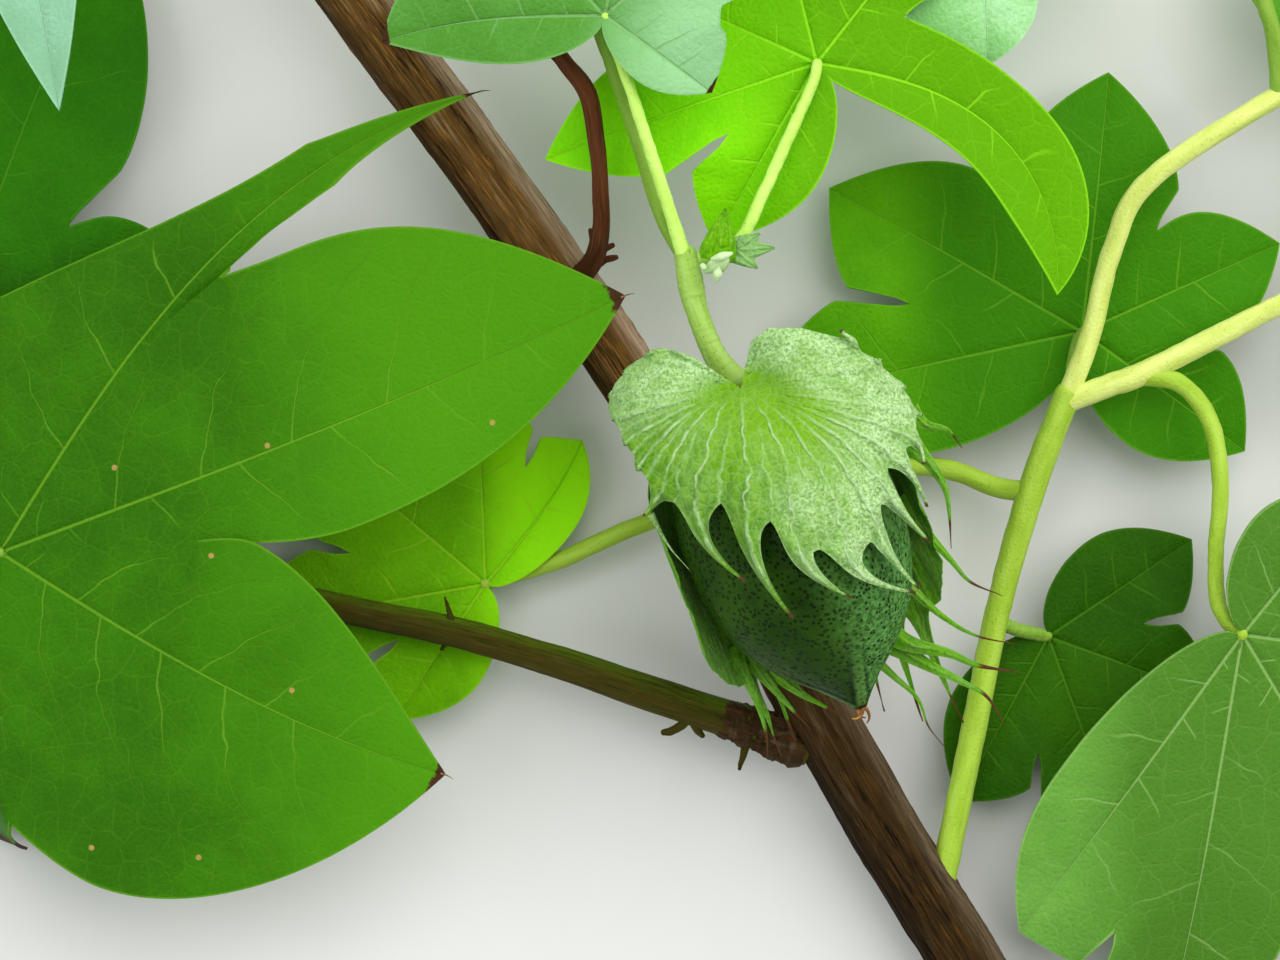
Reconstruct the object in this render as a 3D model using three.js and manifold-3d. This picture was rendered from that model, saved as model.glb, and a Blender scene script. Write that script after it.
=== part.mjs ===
// A cut branch of a cotton plant, lying down: a woody stem with one side branch, a fruiting branch that holds a
// green boll in its fringed bracts, a pale side shoot, and lobed leaves on their petioles.
// Millimetres, +Z up. Every point is given in plan as the branch is seen from above, with its height as third number.
import * as THREE from "three";
import Module from "manifold-3d";

const wasm = await Module();
wasm.setup();

// Driving dimensions
const JOINT_GAP = 0.3; // between a limb and the limb or leaf that it grows from
const LEAF_THICKNESS = 1;
const LOBE_GAP = 1; // from a lobe's side to the line on through its notch
const BRACT_THICKNESS = 0.8;
const BOLL_BASE = [12.7, 11.9, 36];
const BOLL_TIP = [28.7, -29.5, 37];
const BOLL_RADIUS = 14.2;
const BRACT_RADIUS = 16.2; // of the two bracts that stand round the back of the boll
const BRACT_ATTACHMENT = [12.9, 11.6];

// Half the thickness of the boll as a share of its radius, at shares of its length.
const BOLL_PROFILE = [
  [0, 0.3],
  [0.04, 0.5],
  [0.12, 0.75],
  [0.22, 0.92],
  [0.34, 0.99],
  [0.46, 1],
  [0.58, 0.96],
  [0.68, 0.88],
  [0.77, 0.74],
  [0.85, 0.55],
  [0.92, 0.34],
  [0.97, 0.16],
  [1, 0.06],
];

// Limbs: points along the middle, radius at the first and the last point, sides, and what they grow from.
const LIMBS = {
  main_stem: {
    points: [
      [56.7, -87.1, 5.3],
      [44.8, -66.2, 7],
      [34.9, -50.2, 8.5],
      [24.5, -32.3, 10],
      [13.7, -13, 11.5],
      [4.8, 3.4, 13],
      [-4.5, 18.5, 14],
      [-14.9, 33.1, 15],
      [-25.4, 47.6, 16],
      [-38.1, 64.8, 17],
      [-55.9, 89.1, 18.5],
    ],
    radii: [5.1, 4.9, 4.8, 4.8, 4.5, 4.3, 4.3, 4.5, 4.6, 4.7, 4.8],
    sides: 16,
    rings: 22,
    colour: "bark",
  },
  side_branch: {
    points: [
      [23.3, -36.3, 10],
      [12.7, -32.9, 10.5],
      [0.1, -28.7, 11],
      [-12.3, -24.6, 11],
      [-24.9, -20.9, 11],
      [-37.9, -18.2, 11],
      [-50.5, -15.3, 11.5],
      [-62.8, -12.3, 12],
      [-75.1, -8.9, 12],
      [-87.3, -3.4, 12],
      [-104, 6, 12],
    ],
    radii: [2.9, 2.6, 2.4, 2.2, 2.1, 2.0, 1.9, 1.8, 1.7, 1.6, 1.4],
    sides: 10,
    rings: 20,
    grows_from: ["main_stem"],
    colour: "bark",
  },
  twig: {
    points: [
      [-9.8, 26.2, 15],
      [-6.4, 29.2, 21],
      [-5.2, 33.2, 27],
      [-5.2, 37.5, 30.6],
      [-5.6, 43.4, 32],
      [-6.8, 50.4, 32.5],
      [-9.8, 54.6, 32],
      [-12.1, 58, 31.5],
      [-14.2, 67, 30.5],
    ],
    radii: [1.6, 1.4, 1.2, 1.1, 1.1, 1.2, 1.1, 1.1, 1.2],
    sides: 8,
    rings: 14,
    grows_from: ["main_stem"],
    colour: "bark",
  },
  internode: {
    points: [
      [-14.2, 66, 30.5],
      [-10.5, 66.6, 31.5],
      [-6.9, 62.6, 32],
      [-4.7, 57, 32.5],
      [-1, 46.3, 33],
      [2.6, 35, 34],
      [6.2, 28.6, 35],
    ],
    radii: [1, 1, 0.9, 0.9, 0.9, 1, 1.2],
    sides: 8,
    rings: 14,
    grows_from: ["twig", "peduncle"],
    colour: "shoot",
  },
  peduncle: {
    points: [
      [5.9, 29.4, 35],
      [6.6, 25.5, 35],
      [7.4, 22, 35],
      [9.3, 17, 35.4],
      [11.2, 14, 35.7],
      [12.4, 12.5, 35.9],
    ],
    radii: [1.5, 1.7, 1.5, 1.5, 1.7, 1.9],
    sides: 10,
    rings: 10,
    colour: "shoot",
  },
  petiole_c: {
    points: [
      [6, 28.2, 35.2],
      [3.6, 35.6, 37],
      [1.3, 42.6, 38.4],
      [-1.2, 50.2, 39.2],
      [-3.3, 56, 39.2],
      [-4.2, 59, 39.8],
    ],
    radii: [1, 0.85, 0.8, 0.75, 0.7, 0.7],
    sides: 8,
    rings: 10,
    grows_from: ["peduncle", "internode"],
    carries: "leaf_c",
    colour: "shoot",
  },
  petiole_d: {
    points: [
      [6.6, 28.4, 34.6],
      [12.4, 30.5, 33.8],
      [16.3, 37.9, 32.8],
      [19.6, 45.2, 32],
      [22.6, 51.9, 30.9],
      [23.2, 54.4, 30.4],
    ],
    radii: [0.9, 0.85, 0.8, 0.8, 0.75, 0.75],
    sides: 8,
    rings: 12,
    grows_from: ["peduncle", "internode", "petiole_c"],
    carries: "leaf_d",
    colour: "shoot",
  },
  right_shoot: {
    points: [
      [40.4, -60.4, 7.7],
      [42.4, -51, 8.6],
      [46, -33, 9.6],
      [49.3, -16.4, 10.8],
      [53.9, 0, 12],
      [58.3, 11.8, 13],
    ],
    radii: [1.9, 1.8, 1.75, 1.75, 1.9, 1.8],
    sides: 10,
    rings: 14,
    grows_from: ["main_stem"],
    colour: "shoot",
  },
  outer_shoot: {
    points: [
      [57.9, 10.6, 13],
      [63.9, 12.9, 13.6],
      [69.2, 14.9, 14.2],
      [86.6, 23.7, 15],
      [97, 28.6, 14.4],
      [99.4, 29.6, 13.9],
    ],
    radii: [1.6, 1.6, 1.6, 1.4, 1.2, 1.1],
    sides: 8,
    rings: 10,
    grows_from: ["right_shoot"],
    carries: "leaf_k",
    colour: "shoot",
  },
  upper_shoot: {
    points: [
      [57.9, 10.4, 13],
      [61.3, 20, 14],
      [64, 31, 15],
      [69, 40.6, 16],
      [86.4, 52, 16.6],
      [97.4, 57.2, 15.6],
      [99.6, 58, 14.5],
    ],
    radii: [1.5, 1.4, 1.4, 1.4, 1.4, 1.2, 1.1],
    sides: 8,
    rings: 14,
    grows_from: ["right_shoot", "outer_shoot"],
    carries: "leaf_l",
    colour: "shoot",
  },
  petiole_a: {
    points: [
      [-101, 4.4, 12],
      [-101.6, -2, 13.6],
      [-98, -8.6, 16],
      [-91, -10.9, 18],
      [-87, -10.2, 18.3],
    ],
    radii: [1.2, 1.1, 1, 1, 1],
    sides: 8,
    rings: 10,
    grows_from: ["side_branch"],
    carries: "leaf_a",
    colour: "shoot",
  },
  petiole_b: {
    points: [
      [-96, 1.4, 12],
      [-99.5, 9, 11.8],
      [-99.6, 17, 10.6],
      [-95.6, 20.8, 9.4],
    ],
    radii: [1.1, 1, 0.9, 0.9],
    sides: 8,
    rings: 8,
    grows_from: ["side_branch", "petiole_a"],
    carries: "leaf_b",
    colour: "shoot",
  },
  petiole_b2: {
    points: [
      [-51.5, 83, 18],
      [-58, 87, 25],
      [-68, 90.6, 34],
      [-79, 88.4, 40.4],
      [-81.4, 87, 40.9],
    ],
    radii: [1.3, 1.2, 1.1, 1, 0.9],
    sides: 8,
    rings: 10,
    grows_from: ["main_stem"],
    carries: "leaf_b2",
    colour: "shoot",
  },
  petiole_e: {
    points: [
      [67.4, 14.2, 14],
      [73.4, 13, 14.8],
      [77.4, 7.4, 15.6],
      [78.5, -1, 16.4],
      [77.8, -9.5, 17],
      [78, -16.6, 17.4],
      [80.4, -20.4, 17.4],
    ],
    radii: [1.3, 1.25, 1.2, 1.15, 1.1, 1.1, 1.05],
    sides: 8,
    rings: 14,
    grows_from: ["outer_shoot"],
    carries: "leaf_e",
    colour: "shoot",
  },
  petiole_f: {
    points: [
      [53.5, -1.6, 12],
      [49, -1, 9.6],
      [39.2, 1.9, 7],
      [19.3, 0.3, 5.6],
      [0, -6.2, 5.2],
      [-11.1, -11.1, 4.6],
      [-20.6, -14.1, 3.7],
    ],
    radii: [1.4, 1.4, 1.35, 1.3, 1.25, 1.2, 1],
    sides: 8,
    rings: 16,
    grows_from: ["right_shoot"],
    carries: "leaf_f",
    colour: "shoot",
  },
  petiole_g: {
    points: [
      [58.6, 13, 13.2],
      [59.6, 17.6, 11],
      [60.4, 19.6, 8.4],
    ],
    radii: [1, 0.95, 0.9],
    sides: 8,
    rings: 6,
    grows_from: ["right_shoot", "outer_shoot", "upper_shoot"],
    carries: "leaf_g",
    colour: "shoot",
  },
  petiole_i: {
    points: [
      [86.4, 52, 16.6],
      [84.5, 62, 19.6],
      [77, 78, 22.6],
      [60, 88.6, 23.6],
      [46, 86, 22.7],
    ],
    radii: [1.2, 1.1, 1.05, 1, 0.9],
    sides: 8,
    rings: 12,
    grows_from: ["upper_shoot"],
    carries: "leaf_i",
    colour: "shoot",
  },
  petiole_j: {
    points: [
      [48.9, -19.4, 10.6],
      [52, -20.6, 8.4],
      [55.4, -21.4, 6.2],
    ],
    radii: [1, 0.95, 0.9],
    sides: 8,
    rings: 6,
    grows_from: ["right_shoot"],
    carries: "leaf_j",
    colour: "shoot",
  },
};

// Short dead stubs along the side branch: where each starts, where it ends.
const STUBS = [
  [[-25.4, -20.8, 11], [-26.4, -16.2, 12.2]],
  [[-25.4, -20.8, 11], [-26.8, -25, 10.6]],
  [[6.6, -30.9, 10.8], [4.9, -36.6, 10.4]],
  [[15.6, -33.8, 10.4], [13.2, -39.2, 10]],
];
const STUB_RADIUS = 1;

// Leaves: base, lobes in turn as [heading, length, width on the right, on the left, where widest, fullness, bend, drop
// of the tip], the notches between them as [heading, distance from base, and the share of the fold that reaches the
// notch where that isn't all of it], and how far the blade rises per millimetre to the right and up in plan.
const LEAVES = {
  leaf_a: {
    base: [-85.9, -9.7, 20],
    lobes: [
      [-106, 39, 15, 15, 0.5, 2, 0, 17.1],
      [-32, 66.9, 32, 19, 0.46, 1.8, 6, -1],
      [20, 90.6, 13.7, 23.6, 0.52, 2.3, 2, -1],
      [58, 89, 3, 3.6, 0.76, 0.75, -15, -3],
      [120, 38, 14, 14, 0.5, 2, 0, 2],
    ],
    notches: [
      [-88, 36.5],
      [3.4, 26.5],
      [51, 47, 0.25],
      [91, 34],
    ],
    slope: [0.1, 0.03],
    fold: 0.7,
    rows: 10,
    columns: 2,
  },
  leaf_b: {
    base: [-94.4, 21.2, 11],
    lobes: [
      [15, 34, 9, 9, 0.5, 2, 0, 3],
      [70, 62, 15, 16, 0.5, 2, 0, 8.7],
      [132, 44, 14, 14, 0.5, 2, 0, 3],
    ],
    notches: [
      [40, 21],
      [104, 24],
    ],
    slope: [-0.04, -0.01],
  },
  leaf_b2: {
    base: [-82, 86, 42.5],
    lobes: [
      [-78, 40, 7, 7, 0.38, 1.5, 0, -2],
      [-10, 30, 7, 7, 0.5, 2, 0, 1.5],
      [48, 34, 9, 9, 0.5, 2, 0, 1],
      [112, 26, 8, 8, 0.5, 2, 0, 2],
    ],
    notches: [
      [-44, 12],
      [20, 13],
      [78, 13],
    ],
    slope: [0.02, -0.05],
  },
  leaf_c: {
    base: [-4.5, 59.5, 42],
    lobes: [
      [-35, 16.8, 4.5, 7, 0.5, 2, 0, 2],
      [40, 34, 10, 10, 0.55, 2, 0, -2],
      [78, 46, 14, 14, 0.5, 2, 0, 2],
      [134, 42, 12, 12, 0.5, 2, 0, 2],
      [180, 29, 8, 6, 0.4, 2, 6, 2],
    ],
    notches: [
      [4, 15],
      [62, 18],
      [107, 19],
      [159, 18],
    ],
    slope: [0.05, 0.12],
  },
  leaf_d: {
    base: [23.3, 54.9, 29.2],
    lobes: [
      [-9, 44, 5.6, 6.6, 0.62, 3, -35, -2],
      [52, 26, 8, 8, 0.5, 2, 0, 1],
      [104, 34, 10, 10, 0.5, 2, 0, 2],
      [156, 36, 10, 10, 0.5, 2, 0, 3],
      [199, 38, 9, 8, 0.5, 2, 0, 6],
      [240, 27, 8, 8, 0.5, 2, 0, 5],
    ],
    notches: [
      [28, 13],
      [78, 15],
      [130, 16],
      [178, 17],
      [219, 15],
    ],
    slope: [-0.06, 0],
  },
  leaf_e: {
    base: [81.1, -20.8, 19],
    lobes: [
      [-125, 50.5, 9.5, 9, 0.55, 2.6, 0, 4],
      [-98, 61, 13, 13, 0.5, 2, 0, 7.9],
      [-58, 50, 13, 13, 0.5, 2, 0, 7],
      [-8, 38, 12, 12, 0.5, 2, 0, 4],
      [52, 25, 9, 9, 0.5, 2, 0, 2],
    ],
    notches: [
      [-112, 44],
      [-78, 32],
      [-34, 27],
      [22, 18],
    ],
    slope: [-0.02, 0.17],
  },
  leaf_f: {
    base: [-21.4, -14.4, 5.6],
    lobes: [
      [50, 24, 5, 7.5, 0.55, 2.2, 6, 1],
      [92, 27, 8, 8, 0.5, 2, 0, 1],
      [140, 37, 10, 10, 0.5, 2, 0, 3],
      [190, 34, 9, 9, 0.5, 2, 0, 2],
      [236, 23, 7, 7, 0.5, 2, 0, 1],
    ],
    notches: [
      [71, 17],
      [116, 18],
      [167, 19],
      [213, 14],
    ],
    slope: [0, 0],
  },
  leaf_g: {
    base: [60.8, 20.4, 8.6],
    lobes: [
      [-36, 28, 9, 9, 0.5, 2, 0, 2],
      [24, 30, 9, 9, 0.5, 2, 0, 2],
      [84, 36, 11, 11, 0.5, 2, 0, 2],
      [150, 40, 12, 12, 0.5, 2, 0, 3],
      [192, 46, 12, 12, 0.5, 2, 0, 4],
    ],
    notches: [
      [-6, 15],
      [54, 17],
      [117, 21],
      [171, 24],
    ],
    slope: [0.02, 0.02],
  },
  leaf_i: {
    base: [45, 85.4, 25],
    lobes: [
      [-88, 30.5, 11, 7, 0.64, 3, 0, 1],
      [-32, 26, 8, 8, 0.5, 2, 0, 2],
      [25, 30, 9, 9, 0.5, 2, 0, 3],
      [82, 34, 10, 10, 0.5, 2, 0, 4],
      [140, 24, 8, 8, 0.5, 2, 0, 3],
    ],
    notches: [
      [-58, 13],
      [-4, 13],
      [54, 15],
      [112, 15],
    ],
    slope: [0.03, -0.03],
  },
  leaf_j: {
    base: [56.4, -21.6, 6.4],
    lobes: [
      [-118, 26, 8, 8, 0.5, 2, 0, 1.4],
      [-70, 38, 10, 10, 0.5, 2, 0, 2.6],
      [-20, 24, 8, 8, 0.5, 2, 0, 2],
      [34, 24, 8, 8, 0.5, 2, 0, 1.6],
    ],
    notches: [
      [-95, 16],
      [-45, 15],
      [8, 13],
    ],
    slope: [0.03, 0.02],
  },
  leaf_k: {
    base: [100.4, 29.4, 14.6],
    lobes: [
      [-74, 24, 8, 8, 0.5, 2, 0, 5],
      [-22, 34, 10, 10, 0.5, 2, 0, 9],
      [26, 38, 11, 11, 0.5, 2, 0, 12],
      [72, 20, 7, 6, 0.5, 2, 0, 3],
    ],
    notches: [
      [-48, 15],
      [2, 19],
      [54, 14],
    ],
    slope: [-0.06, 0.02],
  },
  leaf_l: {
    base: [100.6, 58.6, 15.6],
    lobes: [
      [-12, 24, 6, 8, 0.5, 2, 0, 3],
      [30, 36, 10, 10, 0.5, 2, 0, 8],
      [84, 38, 10, 10, 0.5, 2, 0, 9],
      [138, 26, 8, 8, 0.5, 2, 0, 6],
    ],
    notches: [
      [10, 15],
      [57, 18],
      [111, 16],
    ],
    slope: [-0.04, -0.05],
  },
};

// Outline of the front bract round its attachment: heading in degrees and distance, with its teeth.
const FRONT_BRACT_EDGE = [
  [128, 3],
  [138, 6.9],
  [151, 10.7],
  [165, 13.7],
  [178, 16.1],
  [189, 16.9],
  [198, 16],
  [211, 15.9],
  [224, 16.6],
  [232, 20.1],
  [239, 16.6],
  [248, 20.1],
  [256, 23.7],
  [260.5, 14.7],
  [270, 22.4],
  [279, 29.2],
  [282, 17.1],
  [290, 25.2],
  [296.5, 30.3],
  [298.5, 22.4],
  [304, 28.4],
  [308.5, 24.9],
  [312.5, 33],
  [319, 22.3],
  [323, 28.7],
  [330.5, 20.9],
  [334.5, 26.7],
  [340, 22],
  [348, 22.6],
  [357, 21.1],
  [368, 17.7],
  [378, 15.6],
  [390, 13.8],
  [405, 10.7],
  [422, 8],
  [433, 5.3],
  [446, 3],
];

// The two bracts round the back of the boll: the side they stand on, as degrees round the boll from its front, and
// along each how far from the boll's base its edge reaches and how far it leans out there.
const BACK_BRACTS = {
  bract_left: { middle: -129, reach: [24, 36, 28, 39, 31, 40, 31, 38, 26], lean: [1, -1, 0, -2, -1, -2, -1, -2, 0] },
  bract_right: { middle: 129, reach: [30, 42, 31, 47, 33, 45, 32, 40, 27], lean: [3, 6, 3.5, 6, 3, 4, 2, 2, 1] },
};
const BACK_BRACT_HALF_ANGLE = 47;

const COLOURS = {
  bark: { color: 0x5a3d2a, roughness: 0.85 },
  shoot: { color: 0x9fbf63, roughness: 0.6 },
  leaf: { color: 0x3f8f24, roughness: 0.6 },
  bract: { color: 0xa9cf86, roughness: 0.7 },
  boll: { color: 0x2f5a2c, roughness: 0.4 },
};

const radians = (degrees) => (degrees * Math.PI) / 180;
const mix = (a, b, share) => a + (b - a) * share;

const group = new THREE.Group();
const solids = {};

// A solid from a list of corners and triangles.
function solidOf(corners, triangles) {
  const vertProperties = new Float32Array(corners.flat());
  const triVerts = new Uint32Array(triangles.flat());
  const mesh = new wasm.Mesh({ numProp: 3, vertProperties, triVerts });
  return new wasm.Manifold(mesh);
}

// Adds a solid to the group as a named mesh.
function addNode(name, solid, colour) {
  const mesh = solid.getMesh();
  const geometry = new THREE.BufferGeometry();
  const corners = [];
  for (let i = 0; i < mesh.vertProperties.length; i += mesh.numProp)
    corners.push(...mesh.vertProperties.slice(i, i + 3));
  geometry.setAttribute("position", new THREE.Float32BufferAttribute(corners, 3));
  geometry.setIndex([...mesh.triVerts]);
  geometry.computeVertexNormals();
  const material = new THREE.MeshStandardMaterial({ ...COLOURS[colour], metalness: 0 });
  const node = new THREE.Mesh(geometry, material);
  node.name = name;
  group.add(node);
}

// The value of a list of evenly spaced numbers at a share of its length.
function alongList(values, share) {
  const at = share * (values.length - 1);
  const first = Math.min(Math.floor(at), values.length - 2);
  return mix(values[first], values[first + 1], at - first);
}

// The value at x of a line through [x, y] points.
function alongPoints(points, x) {
  for (let i = 1; i < points.length; i++) {
    const [x0, y0] = points[i - 1];
    const [x1, y1] = points[i];
    if (x <= x1) return mix(y0, y1, Math.max(0, (x - x0) / (x1 - x0)));
  }
  return points[points.length - 1][1];
}

// A tapering limb: rings of corners round a curve through its points, closed at both ends. The curve's frame is
// carried along it with no twist.
function limbSolid({ points, radii, sides, rings }, growth = 0) {
  const curve = new THREE.CatmullRomCurve3(points.map((p) => new THREE.Vector3(...p)), false, "centripetal");
  const corners = [];
  const triangles = [];
  const across = new THREE.Vector3(0, 0, 1);
  for (let ring = 0; ring <= rings; ring++) {
    const share = ring / rings;
    const middle = curve.getPoint(share);
    const along = curve.getTangent(share);
    across.addScaledVector(along, -across.dot(along)).normalize();
    const side = new THREE.Vector3().crossVectors(along, across);
    const radius = alongList(radii, share) + growth;
    for (let k = 0; k < sides; k++) {
      const angle = (2 * Math.PI * k) / sides;
      const corner = middle.clone();
      corner.addScaledVector(across, radius * Math.cos(angle));
      corner.addScaledVector(side, radius * Math.sin(angle));
      corners.push(corner.toArray());
      const next = (k + 1) % sides;
      const low = ring * sides;
      if (ring < rings) {
        triangles.push([low + k, low + next, low + sides + next]);
        triangles.push([low + k, low + sides + next, low + sides + k]);
      }
    }
  }
  const last = rings * sides;
  const start = corners.length;
  corners.push(curve.getPoint(0).toArray(), curve.getPoint(1).toArray());
  for (let k = 0; k < sides; k++) {
    const next = (k + 1) % sides;
    triangles.push([start, next, k]);
    triangles.push([start + 1, last + k, last + next]);
  }
  return solidOf(corners, triangles);
}

// A thin solid from an open surface: the surface, the same set back along its normals, and a wall round its edge.
function thicken(corners, triangles, thickness) {
  const keys = new Map();
  const kept = [];
  const renamed = corners.map((corner) => {
    const key = corner.map((value) => value.toFixed(4)).join();
    if (!keys.has(key)) {
      keys.set(key, kept.length);
      kept.push(new THREE.Vector3(...corner));
    }
    return keys.get(key);
  });
  const faces = triangles
    .map((face) => face.map((i) => renamed[i]))
    .filter(([a, b, c]) => a !== b && b !== c && c !== a);
  const normals = kept.map(() => new THREE.Vector3());
  const edges = new Set();
  for (const [a, b, c] of faces) {
    const normal = new THREE.Triangle(kept[a], kept[b], kept[c]).getNormal(new THREE.Vector3());
    for (const i of [a, b, c]) normals[i].add(normal);
    for (const [from, to] of [[a, b], [b, c], [c, a]]) edges.add(`${from},${to}`);
  }
  const back = kept.map((corner, i) => corner.clone().addScaledVector(normals[i].normalize(), -thickness));
  const all = [...kept, ...back].map((corner) => corner.toArray());
  const solid = [];
  for (const [a, b, c] of faces) {
    solid.push([a, b, c]);
    solid.push([kept.length + a, kept.length + c, kept.length + b]);
  }
  for (const edge of edges) {
    const [from, to] = edge.split(",").map(Number);
    if (edges.has(`${to},${from}`)) continue;
    solid.push([from, kept.length + from, kept.length + to]);
    solid.push([from, kept.length + to, to]);
  }
  return solidOf(all, solid);
}

// The triangles of a grid of corners with a number of rows and columns, facing the side that its rows and columns
// turn counter-clockwise to.
function gridTriangles(rows, columns, first = 0) {
  const triangles = [];
  for (let row = 0; row < rows; row++) {
    for (let column = 0; column < columns; column++) {
      const low = first + row * (columns + 1) + column;
      const high = low + columns + 1;
      triangles.push([low, high, high + 1], [low, high + 1, low + 1]);
    }
  }
  return triangles;
}

// A lobed leaf. Each lobe is a grid of rows from the base to the tip and columns from its left edge to its right one;
// two lobes share the line from the base to the notch between them, and beyond it each keeps a gap from that line on
// for as long as its midrib is clear of it. Heights follow the blade's slope, a shallow fold up from each midrib, and
// the drop of each lobe beyond its notches.
function leafSolid({ base, lobes, notches, slope, fold = 0.6, rows = 6, columns = 1 }, thickness = LEAF_THICKNESS) {
  const corners = [];
  const triangles = [];
  const sharedRows = Math.round(rows * 0.4);
  lobes.forEach(([heading, length, rightWidth, leftWidth, widest, fullness, bend, drop], index) => {
    const middle = (distance) => {
      const share = distance / length;
      const angle = radians(heading + bend * share * share);
      return [distance * Math.cos(angle), distance * Math.sin(angle)];
    };
    const sideOf = (notch, width, sign) => {
      let start = 0;
      let startWidth = 0;
      let corner = null;
      if (notch) {
        corner = [notch[1] * Math.cos(radians(notch[0])), notch[1] * Math.sin(radians(notch[0]))];
        let nearest = Infinity;
        for (let step = 0; step <= 100; step++) {
          const distance = (length * step) / 100;
          const [x, y] = middle(distance);
          const away = Math.hypot(corner[0] - x, corner[1] - y);
          if (away < nearest) {
            nearest = away;
            start = distance;
          }
        }
        startWidth = nearest;
      }
      const lift = notch?.[2] ?? 1;
      const beside = (x, y) => (-sign * (corner[0] * y - corner[1] * x)) / notch[1];
      const peak = Math.max(widest * length, start + 0.12 * length);
      const widthAt = (distance) => {
        if (distance >= peak) return width * (1 - Math.pow((distance - peak) / (length - peak), fullness));
        const rise = Math.max(0, (distance - start) / (peak - start));
        const shape = notch ? Math.sin((Math.PI / 2) * rise) : Math.sqrt(Math.sin((Math.PI / 2) * rise));
        return mix(startWidth, width, shape);
      };
      return (row) => {
        if (corner && row <= sharedRows) {
          const share = row / sharedRows;
          return { point: [corner[0] * share, corner[1] * share], width: share * lift };
        }
        const share = corner ? (row - sharedRows) / (rows - sharedRows) : row / rows;
        const distance = mix(start, length, share);
        const step = length * 0.002;
        const from = middle(Math.max(0, distance - step));
        const to = middle(Math.min(length, distance + step));
        const run = Math.hypot(to[0] - from[0], to[1] - from[1]);
        const across = [(-(to[1] - from[1]) / run) * sign, ((to[0] - from[0]) / run) * sign];
        const [x, y] = middle(distance);
        const half = widthAt(distance);
        const point = [x + across[0] * half, y + across[1] * half];
        if (corner && beside(x, y) > 2 * LOBE_GAP) {
          const shift = Math.max(0, LOBE_GAP - beside(...point)) * sign;
          point[0] += (corner[1] / notch[1]) * shift;
          point[1] -= (corner[0] / notch[1]) * shift;
        }
        return { point, width: corner ? Math.min(1.5, half / startWidth) * lift : half / width };
      };
    };
    const right = sideOf(notches[index - 1], rightWidth, -1);
    const left = sideOf(notches[index], leftWidth, 1);
    const first = corners.length;
    for (let row = 0; row <= rows; row++) {
      const [mx, my] = middle(length * Math.pow(row / rows, 1.1));
      const beyond = Math.max(0, (row - sharedRows) / (rows - sharedRows));
      const edges = [left(row), right(row)];
      for (let column = -columns; column <= columns; column++) {
        const edge = edges[column < 0 ? 0 : 1];
        const share = Math.abs(column) / columns;
        const x = mix(mx, edge.point[0], share);
        const y = mix(my, edge.point[1], share);
        const height = slope[0] * x + slope[1] * y + fold * share * edge.width - drop * beyond * beyond;
        corners.push([base[0] + x, base[1] + y, base[2] + height]);
      }
    }
    for (const [a, b, c] of gridTriangles(rows, 2 * columns, first)) triangles.push([a, c, b]);
  });
  return thicken(corners, triangles, thickness);
}

// The boll's own directions: along its length, sideways in plan, and up to its front.
const bollBase = new THREE.Vector3(...BOLL_BASE);
const bollAlong = new THREE.Vector3(...BOLL_TIP).sub(bollBase);
const bollLength = bollAlong.length();
bollAlong.normalize();
const bollSide = new THREE.Vector3(0, 0, 1).cross(bollAlong).normalize();
const bollFront = new THREE.Vector3().crossVectors(bollAlong, bollSide);
const bollRadiusAt = (distance) => BOLL_RADIUS * alongPoints(BOLL_PROFILE, distance / bollLength);

// The point at a distance along the boll, an angle round it from its front, and a distance from its axis.
function roundBoll(distance, degrees, radius) {
  const point = bollBase.clone().addScaledVector(bollAlong, distance);
  point.addScaledVector(bollFront, radius * Math.cos(radians(degrees)));
  return point.addScaledVector(bollSide, radius * Math.sin(radians(degrees)));
}

// The boll: rings of its profile, each swollen a little at its four valves, closed at both ends.
function bollSolid(sides = 24) {
  const corners = [];
  const triangles = [];
  BOLL_PROFILE.forEach(([share, part], ring) => {
    for (let k = 0; k < sides; k++) {
      const degrees = (360 * k) / sides;
      const swelling = 1 + 0.015 * Math.cos(radians(4 * degrees)) * Math.sin(Math.PI * share);
      corners.push(roundBoll(share * bollLength, degrees, part * BOLL_RADIUS * swelling).toArray());
      const next = (k + 1) % sides;
      const low = ring * sides;
      if (ring < BOLL_PROFILE.length - 1) {
        triangles.push([low + k, low + sides + next, low + next]);
        triangles.push([low + k, low + sides + k, low + sides + next]);
      }
    }
  });
  const start = corners.length;
  const last = (BOLL_PROFILE.length - 1) * sides;
  corners.push(roundBoll(0.6, 0, 0).toArray(), roundBoll(bollLength + 0.8, 0, 0).toArray());
  for (let k = 0; k < sides; k++) {
    const next = (k + 1) % sides;
    triangles.push([start, k, next]);
    triangles.push([start + 1, last + next, last + k]);
  }
  return solidOf(corners, triangles);
}

// Height of the front bract over the plan: a pillow over the boll, dipped where the peduncle meets it, and never
// lower than a little above the boll itself.
function frontBractHeight(x, y) {
  const dx = x - BOLL_BASE[0];
  const dy = y - BOLL_BASE[1];
  const along = dx * bollAlong.x + dy * bollAlong.y;
  const aside = dx * bollSide.x + dy * bollSide.y;
  const reach = along < 14 ? 27 : 36;
  const pillow = 1 - Math.pow((along - 14) / reach, 2) - Math.pow(aside / 23, 2);
  const dip = 9 * Math.exp(-(along * along + aside * aside) / (2 * 4 * 4));
  const radius = along > -2 ? bollRadiusAt(along) + BRACT_THICKNESS + 1 : 0;
  const cover = radius > Math.abs(aside) ? Math.sqrt(radius * radius - aside * aside) : 0;
  return 36.6 + Math.max(15.6 * Math.sqrt(Math.max(0.02, pillow)) - dip, cover);
}

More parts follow.
